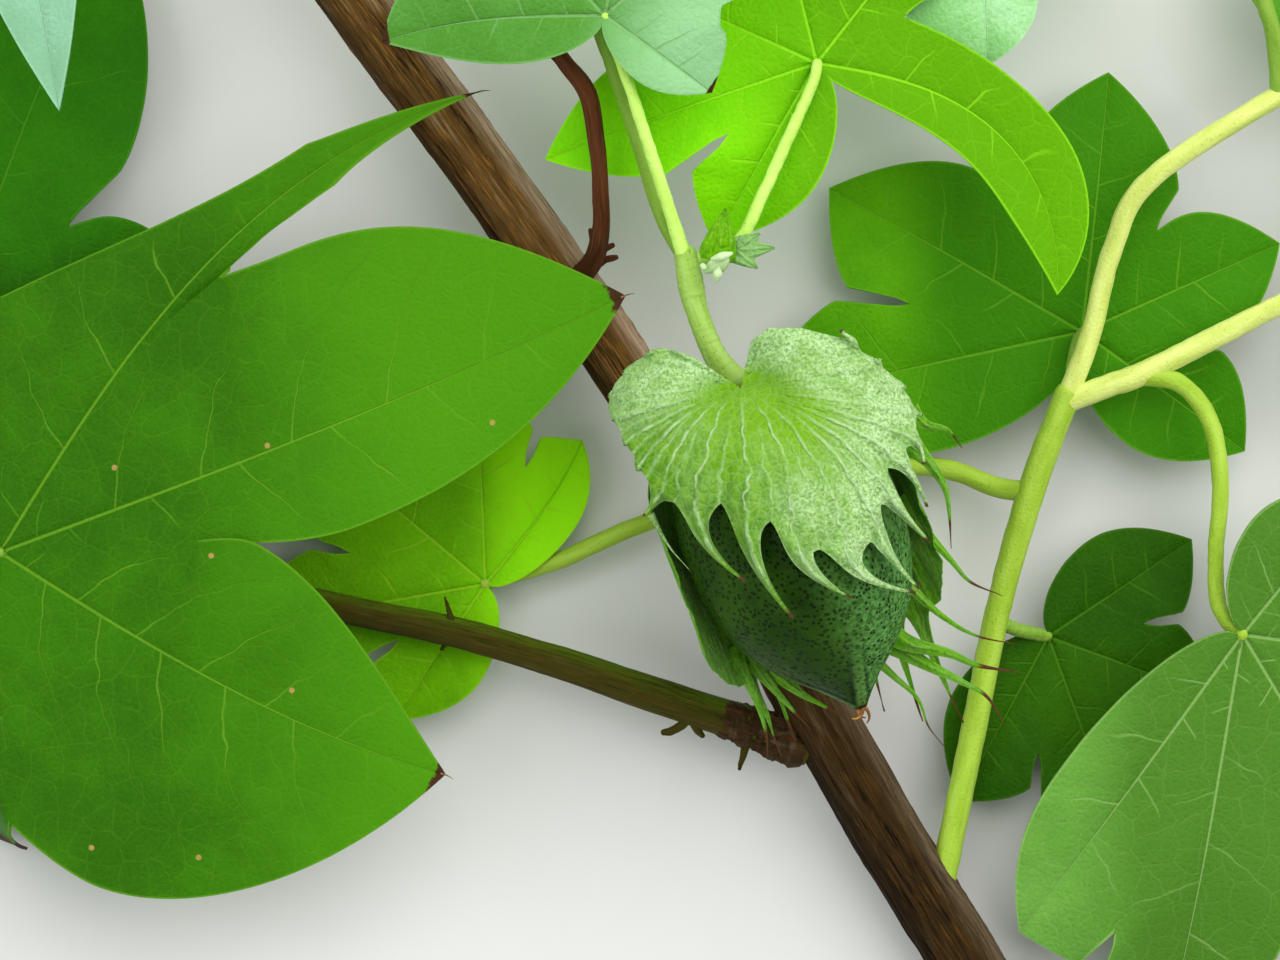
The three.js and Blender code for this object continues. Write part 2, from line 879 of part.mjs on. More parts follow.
function frontBractSolid(rows = 5) {
  const corners = [];
  const columns = FRONT_BRACT_EDGE.length - 1;
  for (let row = 0; row <= rows; row++) {
    for (const [degrees, reach] of FRONT_BRACT_EDGE) {
      const distance = mix(0, reach, row / rows);
      const x = BRACT_ATTACHMENT[0] + distance * Math.cos(radians(degrees));
      const y = BRACT_ATTACHMENT[1] + distance * Math.sin(radians(degrees));
      corners.push([x, y, frontBractHeight(x, y)]);
    }
  }
  const triangles = gridTriangles(rows, columns);
  return thicken(corners, triangles, BRACT_THICKNESS);
}

function backBractSolid({ middle, reach, lean }, rows = 8) {
  const corners = [];
  const columns = reach.length - 1;
  for (let row = 0; row <= rows; row++) {
    const share = row / rows;
    for (let column = 0; column <= columns; column++) {
      const across = (2 * column) / columns - 1;
      const spread = BACK_BRACT_HALF_ANGLE * Math.min(1, 0.45 + 2.2 * share);
      const degrees = middle + Math.sign(middle) * across * spread;
      const distance = 1 + (reach[column] - 1) * Math.pow(share, 1.5);
      const seated = bollRadiusAt(distance) + BRACT_THICKNESS + JOINT_GAP;
      const stand = mix(seated, BRACT_RADIUS, Math.min(1, distance / 12));
      corners.push(roundBoll(distance, degrees, stand + lean[column] * share * share).toArray());
    }
  }
  const triangles = gridTriangles(rows, columns).map(([a, b, c]) => (middle > 0 ? [a, b, c] : [a, c, b]));
  return thicken(corners, triangles, BRACT_THICKNESS);
}

// A small pointed bract beside the young bud: a curved triangle.
function bracteoleSolid(base, tip, width, lift) {
  const corners = [];
  const rows = 4;
  const along = [tip[0] - base[0], tip[1] - base[1]];
  const run = Math.hypot(...along);
  const across = [-along[1] / run, along[0] / run];
  for (let row = 0; row <= rows; row++) {
    const share = row / rows;
    const half = width * Math.pow(1 - share, 0.8);
    for (let column = -1; column <= 1; column++) {
      const x = base[0] + along[0] * share + across[0] * half * column;
      const y = base[1] + along[1] * share + across[1] * half * column;
      const z = mix(base[2], tip[2], share) + lift * Math.sin(Math.PI * share) - 0.5 * Math.abs(column);
      corners.push([x, y, z]);
    }
  }
  const triangles = gridTriangles(rows, 2).map(([a, b, c]) => [a, c, b]);
  return thicken(corners, triangles, 0.5);
}

for (const [name, limb] of Object.entries(LIMBS)) solids[name] = limbSolid(limb);
for (const [start, end] of STUBS) {
  const points = [start, [0, 1, 2].map((i) => mix(start[i], end[i], 0.6)), end];
  const stub = limbSolid({ points, radii: [STUB_RADIUS, STUB_RADIUS, 0.5], sides: 6, rings: 3 });
  solids.side_branch = solids.side_branch.add(stub);
}
for (const [name, { grows_from = [], carries, colour }] of Object.entries(LIMBS)) {
  for (const parent of grows_from)
    solids[name] = solids[name].subtract(limbSolid(LIMBS[parent], JOINT_GAP));
  if (carries) {
    solids[name] = solids[name].subtract(leafSolid(LEAVES[carries], LEAF_THICKNESS + JOINT_GAP));
    solids[name] = solids[name].subtract(leafSolid(LEAVES[carries]));
  }
  addNode(name, solids[name], colour);
}

for (const [name, leaf] of Object.entries(LEAVES)) addNode(name, leafSolid(leaf), "leaf");

addNode("boll", bollSolid(), "boll");
addNode("bract_front", frontBractSolid(), "bract");
for (const [name, bract] of Object.entries(BACK_BRACTS)) addNode(name, backBractSolid(bract), "bract");

addNode("bud_bract_left", bracteoleSolid([9.6, 28.8, 37.6], [11, 34.6, 38.4], 2.4, 0.5), "bract");
addNode("bud_bract_right", bracteoleSolid([12.8, 28.2, 36.6], [17, 29.4, 37.4], 1.9, 0.5), "bract");
addNode("bud", limbSolid({
  points: [[9, 26.6, 36.4], [10.4, 27.6, 36.6], [11.6, 28.6, 36.6]],
  radii: [0.5, 1.2, 0.4],
  sides: 8,
  rings: 6,
}), "bract");

// The frame: centred in plan, with the lowest point on the floor.
const box = new THREE.Box3().setFromObject(group);
group.position.set(-(box.min.x + box.max.x) / 2, -(box.min.y + box.max.y) / 2, -box.min.z);

export default group;
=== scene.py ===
import math
from collections import namedtuple

import bpy
import mathutils
import numpy as np
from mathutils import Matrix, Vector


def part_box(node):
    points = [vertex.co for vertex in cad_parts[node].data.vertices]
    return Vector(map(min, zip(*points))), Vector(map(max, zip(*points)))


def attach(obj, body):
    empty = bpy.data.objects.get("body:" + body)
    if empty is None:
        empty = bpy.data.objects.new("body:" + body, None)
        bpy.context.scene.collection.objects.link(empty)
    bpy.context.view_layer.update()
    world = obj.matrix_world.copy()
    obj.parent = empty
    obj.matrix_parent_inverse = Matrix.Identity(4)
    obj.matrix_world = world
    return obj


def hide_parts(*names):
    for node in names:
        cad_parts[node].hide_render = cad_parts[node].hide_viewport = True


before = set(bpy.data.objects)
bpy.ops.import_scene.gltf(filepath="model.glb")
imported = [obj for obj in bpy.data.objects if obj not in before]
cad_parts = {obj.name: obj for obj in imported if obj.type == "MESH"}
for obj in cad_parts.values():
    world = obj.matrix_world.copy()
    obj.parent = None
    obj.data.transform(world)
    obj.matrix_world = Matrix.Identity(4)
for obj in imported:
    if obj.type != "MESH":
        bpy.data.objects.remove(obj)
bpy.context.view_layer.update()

# Driving dimensions, in the drawing's millimetres. The drawing's plan has its middle under the camera,
# and SHIFT takes it to the frame from the place of the woody stem.
STEM_LOW_CORNER = np.array([-59.773, -89.623, 0.213])
SHIFT = np.array(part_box("main_stem")[0]) * 1000 - STEM_LOW_CORNER
# Leaves: the sheet, the gap between neighbouring lobes, and how side veins slant, bend, crowd towards the
# tip, and stand between those of the other side
LEAF_THICKNESS = 0.4
LOBE_GAP = 0.4
VEIN_SLANT = 0.45
VEIN_CURVE = 700
VEIN_CROWDING = 0.88
VEIN_STAGGER = 0.42
# The boll: its axis, its greatest radius, and its outline as shares of both
BOLL_BASE = np.array([12.7, 11.9, 36.0])
BOLL_TIP = np.array([28.7, -29.5, 37.0])
BOLL_RADIUS = 14.2
BOLL_SHARES = [0, 0.04, 0.12, 0.22, 0.34, 0.46, 0.58, 0.68, 0.77, 0.85, 0.92, 0.97, 1]
BOLL_WIDTHS = [0.3, 0.5, 0.75, 0.92, 0.99, 1, 0.96, 0.88, 0.73, 0.52, 0.28, 0.13, 0.05]
# Bracts round the boll: the sheet, how far it stands from the boll's axis, and where it is attached
BRACT_THICKNESS = 0.15
BRACT_RADIUS = 16.2
BRACT_ATTACHMENT = np.array([12.9, 11.6])
# The camera's height over the floor and its lens
CAMERA_HEIGHT = 497.2
CAMERA_LENS = 100
# Faces that meet at more degrees than this keep a hard edge between them
SHARP_EDGE = 40
BODY = "root"

# Limbs: points along the middle, and the radius at even steps along them.
LIMBS = {
    "main_stem": (
        [(56.7, -87.1, 5.3), (44.8, -66.2, 7), (34.9, -50.2, 8.5), (24.5, -32.3, 10), (13.7, -13, 11.5),
         (4.8, 3.4, 13), (-4.5, 18.5, 14), (-14.9, 33.1, 15), (-25.4, 47.6, 16), (-38.1, 64.8, 17),
         (-55.9, 89.1, 18.5)],
        [5.1, 4.9, 4.8, 4.8, 4.5, 4.3, 4.3, 4.5, 4.6, 4.7, 4.8],
    ),
    "side_branch": (
        [(23.3, -36.3, 10), (12.7, -32.9, 10.5), (0.1, -28.7, 11), (-12.3, -24.6, 11), (-24.9, -20.9, 11),
         (-37.9, -18.2, 11), (-50.5, -15.3, 11.5), (-62.8, -12.3, 12), (-75.1, -8.9, 12), (-87.3, -3.4, 12),
         (-104, 6, 12)],
        [2.9, 2.6, 2.4, 2.2, 2.1, 2, 1.9, 1.8, 1.7, 1.6, 1.4],
    ),
    "twig": (
        [(-9.8, 26.2, 15), (-6.4, 29.2, 21), (-5.2, 33.2, 27), (-5.2, 37.5, 30.6), (-5.6, 43.4, 32),
         (-6.8, 50.4, 32.5), (-9.8, 54.6, 32), (-12.1, 58, 31.5), (-14.2, 67, 30.5)],
        [1.6, 1.4, 1.2, 1.1, 1.1, 1.2, 1.1, 1.1, 1.2],
    ),
    "internode": (
        [(-14.2, 66, 30.5), (-10.5, 66.6, 31.5), (-6.9, 62.6, 32), (-4.7, 57, 32.5), (-1, 46.3, 33),
         (2.6, 35, 34), (6.2, 28.6, 35)],
        [1, 1, 0.9, 0.9, 0.9, 1, 1.2],
    ),
    "peduncle": (
        [(5.9, 29.4, 35), (6.6, 25.5, 35), (7.4, 22, 35), (9.3, 17, 35.4), (11.2, 14, 35.7),
         (12.4, 12.5, 35.9)],
        [1.5, 1.7, 1.5, 1.5, 1.8, 2.3],
    ),
    "petiole_c": (
        [(6, 28.2, 35.2), (3.6, 35.6, 37), (1.3, 42.6, 38.4), (-1.2, 50.2, 39.2), (-3.3, 56, 39.2),
         (-4.2, 59, 39.8)],
        [1, 0.85, 0.8, 0.75, 0.7, 0.7],
    ),
    "petiole_d": (
        [(6.6, 28.4, 34.6), (12.4, 30.5, 33.8), (16.3, 37.9, 32.8), (19.6, 45.2, 32), (22.6, 51.9, 30.9),
         (23.2, 54.4, 30.4)],
        [0.9, 0.85, 0.8, 0.8, 0.75, 0.75],
    ),
    "right_shoot": (
        [(40.4, -60.4, 7.7), (42.4, -51, 8.6), (46, -33, 9.6), (49.3, -16.4, 10.8), (53.9, 0, 12),
         (58.3, 11.8, 13)],
        [1.9, 1.8, 1.75, 1.75, 1.9, 1.8],
    ),
    "outer_shoot": (
        [(57.9, 10.6, 13), (63.9, 12.9, 13.6), (69.2, 14.9, 14.2), (86.6, 23.7, 15), (97, 28.6, 14.4),
         (99.4, 29.6, 13.9)],
        [1.6, 1.6, 1.6, 1.4, 1.2, 1.1],
    ),
    "upper_shoot": (
        [(57.9, 10.4, 13), (61.3, 20, 14), (64, 31, 15), (69, 40.6, 16), (86.4, 52, 16.6),
         (97.4, 57.2, 15.6), (99.6, 58, 14.5)],
        [1.5, 1.4, 1.4, 1.4, 1.4, 1.2, 1.1],
    ),
    "petiole_a": (
        [(-101, 4.4, 12), (-101.6, -2, 13.6), (-98, -8.6, 16), (-91, -10.9, 18), (-87, -10.2, 18.3)],
        [1.2, 1.1, 1, 1, 1],
    ),
    "petiole_b": (
        [(-96, 1.4, 12), (-99.5, 9, 11.8), (-99.6, 17, 10.6), (-95.6, 20.8, 9.4)],
        [1.1, 1, 0.9, 0.9],
    ),
    "petiole_b2": (
        [(-51.5, 83, 18), (-58, 87, 25), (-68, 90.6, 34), (-79, 88.4, 40.4), (-81.4, 87, 40.9)],
        [1.3, 1.2, 1.1, 1, 0.9],
    ),
    "petiole_e": (
        [(67.4, 14.2, 14), (73.4, 13, 14.8), (77.4, 7.4, 15.6), (78.5, -1, 16.4), (77.8, -9.5, 17),
         (78, -16.6, 17.4), (80.4, -20.4, 17.4)],
        [1.3, 1.25, 1.2, 1.15, 1.1, 1.1, 1.05],
    ),
    "petiole_f": (
        [(53.5, -1.6, 12), (49, -1, 9.6), (39.2, 1.9, 7), (19.3, 0.3, 5.6), (0, -6.2, 5.2),
         (-11.1, -11.1, 4.6), (-20.6, -14.1, 3.7)],
        [1.4, 1.4, 1.35, 1.3, 1.25, 1.2, 1],
    ),
    "petiole_g": (
        [(58.6, 13, 13.2), (59.6, 17.6, 11), (60.4, 19.6, 8.4)],
        [1, 0.95, 0.9],
    ),
    "petiole_i": (
        [(86.4, 52, 16.6), (84.5, 62, 19.6), (77, 78, 22.6), (60, 88.6, 23.6), (46, 86, 22.7)],
        [1.2, 1.1, 1.05, 1, 0.9],
    ),
    "petiole_j": (
        [(48.9, -19.4, 10.6), (52, -20.6, 8.4), (55.4, -21.4, 6.2)],
        [1, 0.95, 0.9],
    ),
}

# A lobe: its heading and length, its width on the right and on the left, how far its tip drops, the share
# of its length where it is widest, how full it is beyond, and how far its midrib bends by the tip, in
# degrees.
Lobe = namedtuple("Lobe", "heading length right left drop widest fullness bend", defaults=(0.5, 2, 0))
# Leaves: base; lobes in turn; notches between them as heading, distance, the share of the fold that
# reaches them where that isn't all of it, and how far the lobes lap there where they do; slope of the
# blade.
LEAVES = {
    "leaf_a": (
        (-85.9, -9.7, 20),
        [(-106, 39, 15, 15, 17.1), (-32, 66.9, 32, 19, -1, 0.46, 1.8, 6),
         (20, 90.6, 13.7, 23.6, -1, 0.52, 2.3, 2), (58, 89, 3, 3.6, -3, 0.76, 0.75, -15),
         (120, 38, 14, 14, 2)],
        [(-88, 36.5), (3.4, 26.5, 1, 1.6), (51, 47, 0.25, 1.2), (91, 34)],
        (0.1, 0.03),
    ),
    "leaf_b": (
        (-94.4, 21.2, 11),
        [(15, 34, 9, 9, 3), (70, 62, 15, 16, 8.7), (132, 44, 14, 14, 3)],
        [(40, 21), (104, 24)],
        (-0.04, -0.01),
    ),
    "leaf_b2": (
        (-82, 86, 42.5),
        [(-78, 40, 7, 7, -2, 0.38, 1.5), (-10, 30, 7, 7, 1.5), (48, 34, 9, 9, 1), (112, 26, 8, 8, 2)],
        [(-44, 12), (20, 13), (78, 13)],
        (0.02, -0.05),
    ),
    "leaf_c": (
        (-4.5, 59.5, 42),
        [(-35, 16.8, 4.5, 7, 2), (40, 34, 10, 10, -2, 0.55, 2), (78, 46, 14, 14, 2), (134, 42, 12, 12, 2),
         (180, 29, 8, 6, 2, 0.4, 2, 6)],
        [(4, 15), (62, 18), (107, 19), (159, 18)],
        (0.05, 0.12),
    ),
    "leaf_d": (
        (23.3, 54.9, 29.2),
        [(-9, 44, 5.6, 6.6, -2, 0.62, 3, -35), (52, 26, 8, 8, 1), (104, 34, 10, 10, 2),
         (156, 36, 10, 10, 3), (199, 38, 9, 8, 6), (240, 27, 8, 8, 5)],
        [(28, 13), (78, 15), (130, 16), (178, 17), (219, 15)],
        (-0.06, 0),
    ),
    "leaf_e": (
        (81.1, -20.8, 19),
        [(-125, 50.5, 9.5, 9, 4, 0.55, 2.6), (-98, 61, 13, 13, 7.9), (-58, 50, 13, 13, 7),
         (-8, 38, 12, 12, 4), (52, 25, 9, 9, 2)],
        [(-112, 44), (-78, 32), (-34, 27), (22, 18)],
        (-0.02, 0.17),
    ),
    "leaf_f": (
        (-21.4, -14.4, 5.6),
        [(50, 24, 5, 7.5, 1, 0.55, 2.2, 6), (92, 27, 8, 8, 1), (140, 37, 10, 10, 3), (190, 34, 9, 9, 2),
         (236, 23, 7, 7, 1)],
        [(71, 17), (116, 18), (167, 19), (213, 14)],
        (0, 0),
    ),
    "leaf_g": (
        (60.8, 20.4, 8.6),
        [(-36, 28, 9, 9, 2), (24, 30, 9, 9, 2), (84, 36, 11, 11, 2), (150, 40, 12, 12, 3),
         (192, 46, 12, 12, 4)],
        [(-6, 15), (54, 17), (117, 21), (171, 24)],
        (0.02, 0.02),
    ),
    "leaf_i": (
        (45, 85.4, 25),
        [(-88, 30.5, 11, 7, 1, 0.64, 3), (-32, 26, 8, 8, 2), (25, 30, 9, 9, 3), (82, 34, 10, 10, 4),
         (140, 24, 8, 8, 3)],
        [(-58, 13), (-4, 13), (54, 15), (112, 15)],
        (0.03, -0.03),
    ),
    "leaf_j": (
        (56.4, -21.6, 6.4),
        [(-118, 26, 8, 8, 1.4), (-70, 38, 10, 10, 2.6), (-20, 24, 8, 8, 2), (34, 24, 8, 8, 1.6)],
        [(-95, 16), (-45, 15), (8, 13)],
        (0.03, 0.02),
    ),
    "leaf_k": (
        (100.4, 29.4, 14.6),
        [(-74, 24, 8, 8, 5), (-22, 34, 10, 10, 9), (26, 38, 11, 11, 12), (72, 20, 7, 6, 3)],
        [(-48, 15), (2, 19), (54, 14)],
        (-0.06, 0.02),
    ),
    "leaf_l": (
        (100.6, 58.6, 15.6),
        [(-12, 24, 6, 8, 3), (30, 36, 10, 10, 8), (84, 38, 10, 10, 9), (138, 26, 8, 8, 6)],
        [(10, 15), (57, 18), (111, 16)],
        (-0.04, -0.05),
    ),
}

# Front bract, flat, as seen by the camera: notches along its edge and the teeth between them, in units of
# BRACT_UNIT millimetres from its attachment. Every tooth stands between two neighbouring notches.
BRACT_UNIT = 0.127
BRACT_NOTCHES = [
    (-22, 6), (-31, 13), (-48, 31), (-78, 41), (-105, 28), (-126, 6), (-133, -18), (-121, -42),
    (-108, -65), (-95, -90), (-68, -113), (-21, -114), (27, -132), (76, -160), (125, -153), (136, -116),
    (144, -80), (163, -60), (174, -38), (169, -10), (150, 14), (120, 37), (96, 51), (60, 60), (27, 60),
    (10.5, 48),
]
BRACT_TEETH = {
    3: (-94, 38), 4: (-119, 18), 5: (-134, -5), 6: (-129, -32), 7: (-117, -57), 8: (-105, -82),
    9: (-98, -127), 10: (2, -191), 11: (49, -227), 12: (106, -207), 13: (172, -203), 14: (176, -199),
    15: (186, -152), 16: (184, -118), 17: (181, -76), 18: (182, -26), 19: (166, 2), 20: (139, 31),
    21: (98, 58),
}
# The bracts round the back of the boll, flat: across and down from the attachment, in millimetres. Their
# front edge is the first one.
RIGHT_NOTCHES = [
    (-2, 0), (-6, -1.5), (-9.4, -4), (-11.2, -9), (-11, -15), (-9.5, -21), (-7.5, -26), (-6, -29.6),
    (-4, -32.5), (-1.8, -34.5), (0.8, -35.5), (4, -35), (7.4, -33), (10.2, -29.5), (12.2, -23), (13, -16),
    (12.4, -9), (9, -4), (4, -1),
]
RIGHT_TEETH = {10: (2.8, -51), 11: (7.6, -49), 12: (11.4, -46), 13: (14.4, -37), 14: (15, -28)}
# Long teeth that show beside the boll: points along the middle, in the drawing, and the half-width at the
# root.
RIGHT_STREAMERS = [
    ([(35.4, 8.8, 32), (37.6, 7.2, 32), (40.2, 6.6, 32), (42.2, 4.2, 31.4)], 1.5),
    ([(35.6, 4.6, 31), (38.2, 1.8, 31.6), (40.2, -2, 31.6), (40.8, -9, 31.2)], 1.5),
    ([(34.4, -2, 30), (37, -6.2, 31), (41, -10.8, 31), (43.4, -13.4, 30.6), (47.6, -15.2, 30)], 1.7),
    ([(33, -10.6, 29), (36.8, -15.4, 30), (41, -18.8, 30), (44.6, -20.6, 29.6), (49.4, -21.6, 29)], 1.4),
    ([(30.4, -17.4, 28), (34.6, -21.2, 29), (40.6, -22.8, 29), (44.4, -24.4, 28.6), (50, -25.4, 28)], 2.6),
    ([(31.4, -20.4, 26), (37.2, -24, 28), (42.4, -26.6, 28), (45.8, -28.6, 27.6), (48.2, -32.4, 27)], 2.2),
    ([(29.4, -22.2, 25), (33.4, -25.8, 26), (36.8, -29, 26), (38.2, -32.6, 26), (40.4, -35.4, 25.6)], 1.1),
]
LEFT_NOTCHES = [
    (-2, 0), (-6, -1.5), (-10.4, -4), (-12.8, -8), (-13.6, -13), (-13.8, -18), (-13.8, -23), (-12.6, -28),
    (-9.6, -32), (-6.5, -34.5), (-3.5, -35.5), (-1, -35.5), (2, -34.5), (5, -33), (8.6, -29.5),
    (11.4, -23), (12.8, -16), (12, -9), (9, -4), (4, -1),
]
LEFT_TEETH = {11: (-0.6, -46), 12: (3.4, -45), 13: (7, -42), 14: (10.6, -38)}
LEFT_STREAMERS = [
    ([(12, -22, 28), (13.6, -25.4, 29), (15.4, -29.2, 29), (16.6, -33.4, 29), (16.8, -36.8, 28.6)], 1.7),
    ([(14, -23, 27), (17.2, -27, 28), (20.2, -30.4, 28), (22.6, -33, 27.6)], 1.8),
    ([(17.4, -25, 27), (21, -28, 28), (24.6, -30, 28), (27.2, -31.4, 27.6)], 1.6),
]
FRONT_STREAMERS = [([(1.4, -4.4, 40.4), (3.8, -8.6, 40), (6.6, -11.8, 41.4)], 0.5)]

# Basic sums


def rows_of(*values):
    """One array with the given arrays or numbers side by side in its last direction."""
    return np.stack(np.broadcast_arrays(*values), axis=-1)


def on_faces(faces, *values):
    """A map: its two values at each corner of each face, from those at each corner."""
    return rows_of(*values).reshape(-1, 2)[faces]


def unit(vectors):
    """Vectors divided by their lengths."""
    return vectors / np.maximum(np.linalg.norm(vectors, axis=-1, keepdims=True), 1e-9)


def held(values):
    """The values kept between 0 and 1."""
    return np.clip(values, 0, 1)


def eased(share):
    """A share from 0 to 1 made level at both ends: three times its square less twice its cube."""
    share = held(share)
    return share * share * (3 - 2 * share)


def noise(across, along, cells_across, cells_along, seed):
    """Smooth random heights from 0 to 1 that repeat across: a lattice of random values, eased between its
    points. across and along are shares from 0 to 1."""
    lattice = np.random.default_rng(seed).random((cells_along + 2, cells_across))
    u = np.mod(across, 1) * cells_across
    v = held(along) * cells_along
    column = np.floor(u).astype(int)
    row = np.floor(v).astype(int)
    fu = eased(u - column)
    fv = eased(v - row)
    left = column % cells_across
    right = (column + 1) % cells_across
    low = lattice[row, left] * (1 - fu) + lattice[row, right] * fu
    high = lattice[row + 1, left] * (1 - fu) + lattice[row + 1, right] * fu
    return low * (1 - fv) + high * fv


def ridged(values):
    """1 where the values pass 0.5, falling straight to 0 at 0 and 1: a line of ridges."""
    return 1 - np.abs(2 * values - 1)


def bell(distance, width):
    """A bump of height 1 at no distance that fades over the width."""
    return np.exp(-((distance / width) ** 2))


# Mesh making


def grid_faces(rows, columns, around=False):
    """Triangles of a grid with that many rows and columns of corners. around joins the last column to the
    first."""
    i = np.arange(rows - 1)[:, None]
    j = np.arange(columns if around else columns - 1)[None, :]
    a = i * columns + j
    b = i * columns + (j + 1) % columns
    c = a + columns
    d = b + columns
    return np.concatenate([rows_of(a, b, d).reshape(-1, 3), rows_of(a, d, c).reshape(-1, 3)])


def weld(corners, faces, maps):
    """One corner in place of those within a thousandth of a millimetre, and no face that has shrunk to a
    line. Maps hold a pair of numbers for each corner of each face."""
    keys = np.round(corners * 1000).astype(np.int64)
    _, first, renamed = np.unique(keys, axis=0, return_index=True, return_inverse=True)
    faces = renamed.reshape(-1)[faces]
    a, b, c = faces.T
    keep = (a != b) & (b != c) & (c != a)
    return corners[first], faces[keep], {name: values[keep] for name, values in maps.items()}


def corner_normals(corners, faces):
    """The direction that the surface faces at each corner: the mean of its faces' directions, by their
    areas."""
    a, b, c = (corners[faces[:, k]] for k in range(3))
    facing = np.cross(b - a, c - a)
    total = np.zeros_like(corners)
    for k in range(3):
        np.add.at(total, faces[:, k], facing)
    return unit(total)


def blade(corners, faces, maps, thickness):
    """A closed thin sheet from an open surface: the surface, a copy set back along its normals by the
    thickness, and a wall along every edge that only one face has."""
    corners, faces, maps = weld(corners, faces, maps)
    count = len(corners)
    back = corners - corner_normals(corners, faces) * thickness
    start = np.concatenate([faces[:, 0], faces[:, 1], faces[:, 2]])
    end = np.concatenate([faces[:, 1], faces[:, 2], faces[:, 0]])
    open_edge = ~np.isin(start * count + end, end * count + start)
    start, end = start[open_edge], end[open_edge]
    wall = np.concatenate([rows_of(start, start + count, end + count), rows_of(start, end + count, end)])
    turned = faces[:, [0, 2, 1]]
    whole = {}
    for name, values in maps.items():
        at_corner = np.zeros((count, 2))
        at_corner[faces.reshape(-1)] = values.reshape(-1, 2)
        whole[name] = np.concatenate([values, values[:, [0, 2, 1]], at_corner[wall % count]])
    return np.concatenate([corners, back]), np.concatenate([faces, turned + count, wall]), whole


def joined(*shells):
    """Several shells of corners, faces and maps as one."""
    corners, faces, maps, count = [], [], {}, 0
    for shell_corners, shell_faces, shell_maps in shells:
        corners.append(shell_corners)
        faces.append(shell_faces + count)
        for name, values in shell_maps.items():
            maps.setdefault(name, []).append(values)
        count += len(shell_corners)
    return np.concatenate(corners), np.concatenate(faces), {k: np.concatenate(v) for k, v in maps.items()}


def piece(name, shell, look, stands_for=()):
    """A Blender object from a shell of corners, faces and maps in the drawing's millimetres. It rides on
    the plant's body and stands for the CAD nodes named."""
    corners, faces, maps = shell
    mesh = bpy.data.meshes.new(name)
    mesh.vertices.add(len(corners))
    mesh.vertices.foreach_set("co", ((corners + SHIFT) / 1000).astype(np.float32).ravel())
    mesh.loops.add(faces.size)
    mesh.loops.foreach_set("vertex_index", faces.astype(np.int32).ravel())
    mesh.polygons.add(len(faces))
    mesh.polygons.foreach_set("loop_start", np.arange(0, faces.size, 3, dtype=np.int32))
    mesh.polygons.foreach_set("use_smooth", np.ones(len(faces), dtype=bool))
    for map_name, values in maps.items():
        layer = mesh.uv_layers.new(name=map_name)
        layer.uv.foreach_set("vector", values.astype(np.float32).ravel())
    mesh.update(calc_edges=True)
    mesh.validate()
    mesh.set_sharp_from_angle(angle=math.radians(SHARP_EDGE))
    thing = bpy.data.objects.new(name, mesh)
    bpy.context.scene.collection.objects.link(thing)
    thing.data.materials.append(look)
    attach(thing, BODY)
    if stands_for:
        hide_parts(*stands_for)
    return thing


# Limbs


def curve_through(points, steps):
    """Points at even steps of length along a smooth curve through the given points, and its length:
    between two of them the curve is a cubic whose slope at each is half the line between its two
    neighbours. Numbers after the first three, such as a radius, are carried along."""
    points = np.array(points, dtype=float)
    wide = np.concatenate([2 * points[:1] - points[1:2], points, 2 * points[-1:] - points[-2:-1]])
    share = np.linspace(0, 1, 24, endpoint=False)[None, :, None]
    p0, p1, p2, p3 = (wide[k : len(wide) - 3 + k, None, :] for k in range(4))
    cubic = 2 * p1 + (p2 - p0) * share + (2 * p0 - 5 * p1 + 4 * p2 - p3) * share**2
    cubic = (cubic + (3 * p1 - p0 - 3 * p2 + p3) * share**3) / 2
    dense = np.concatenate([cubic.reshape(-1, points.shape[1]), points[-1:]])
    steps_taken = np.linalg.norm(np.diff(dense[:, :3], axis=0), axis=1)
    length = np.concatenate([[0], np.cumsum(steps_taken)])
    at = np.linspace(0, length[-1], steps)
    spaced = [np.interp(at, length, dense[:, k]) for k in range(points.shape[1])]
    return np.stack(spaced, axis=1), length[-1]


def with_radii(points, radii):
    """Points with a radius each, from radii given at even steps along them."""
    at = np.linspace(0, 1, len(points))
    return np.column_stack([points, np.interp(at, np.linspace(0, 1, len(radii)), radii)])


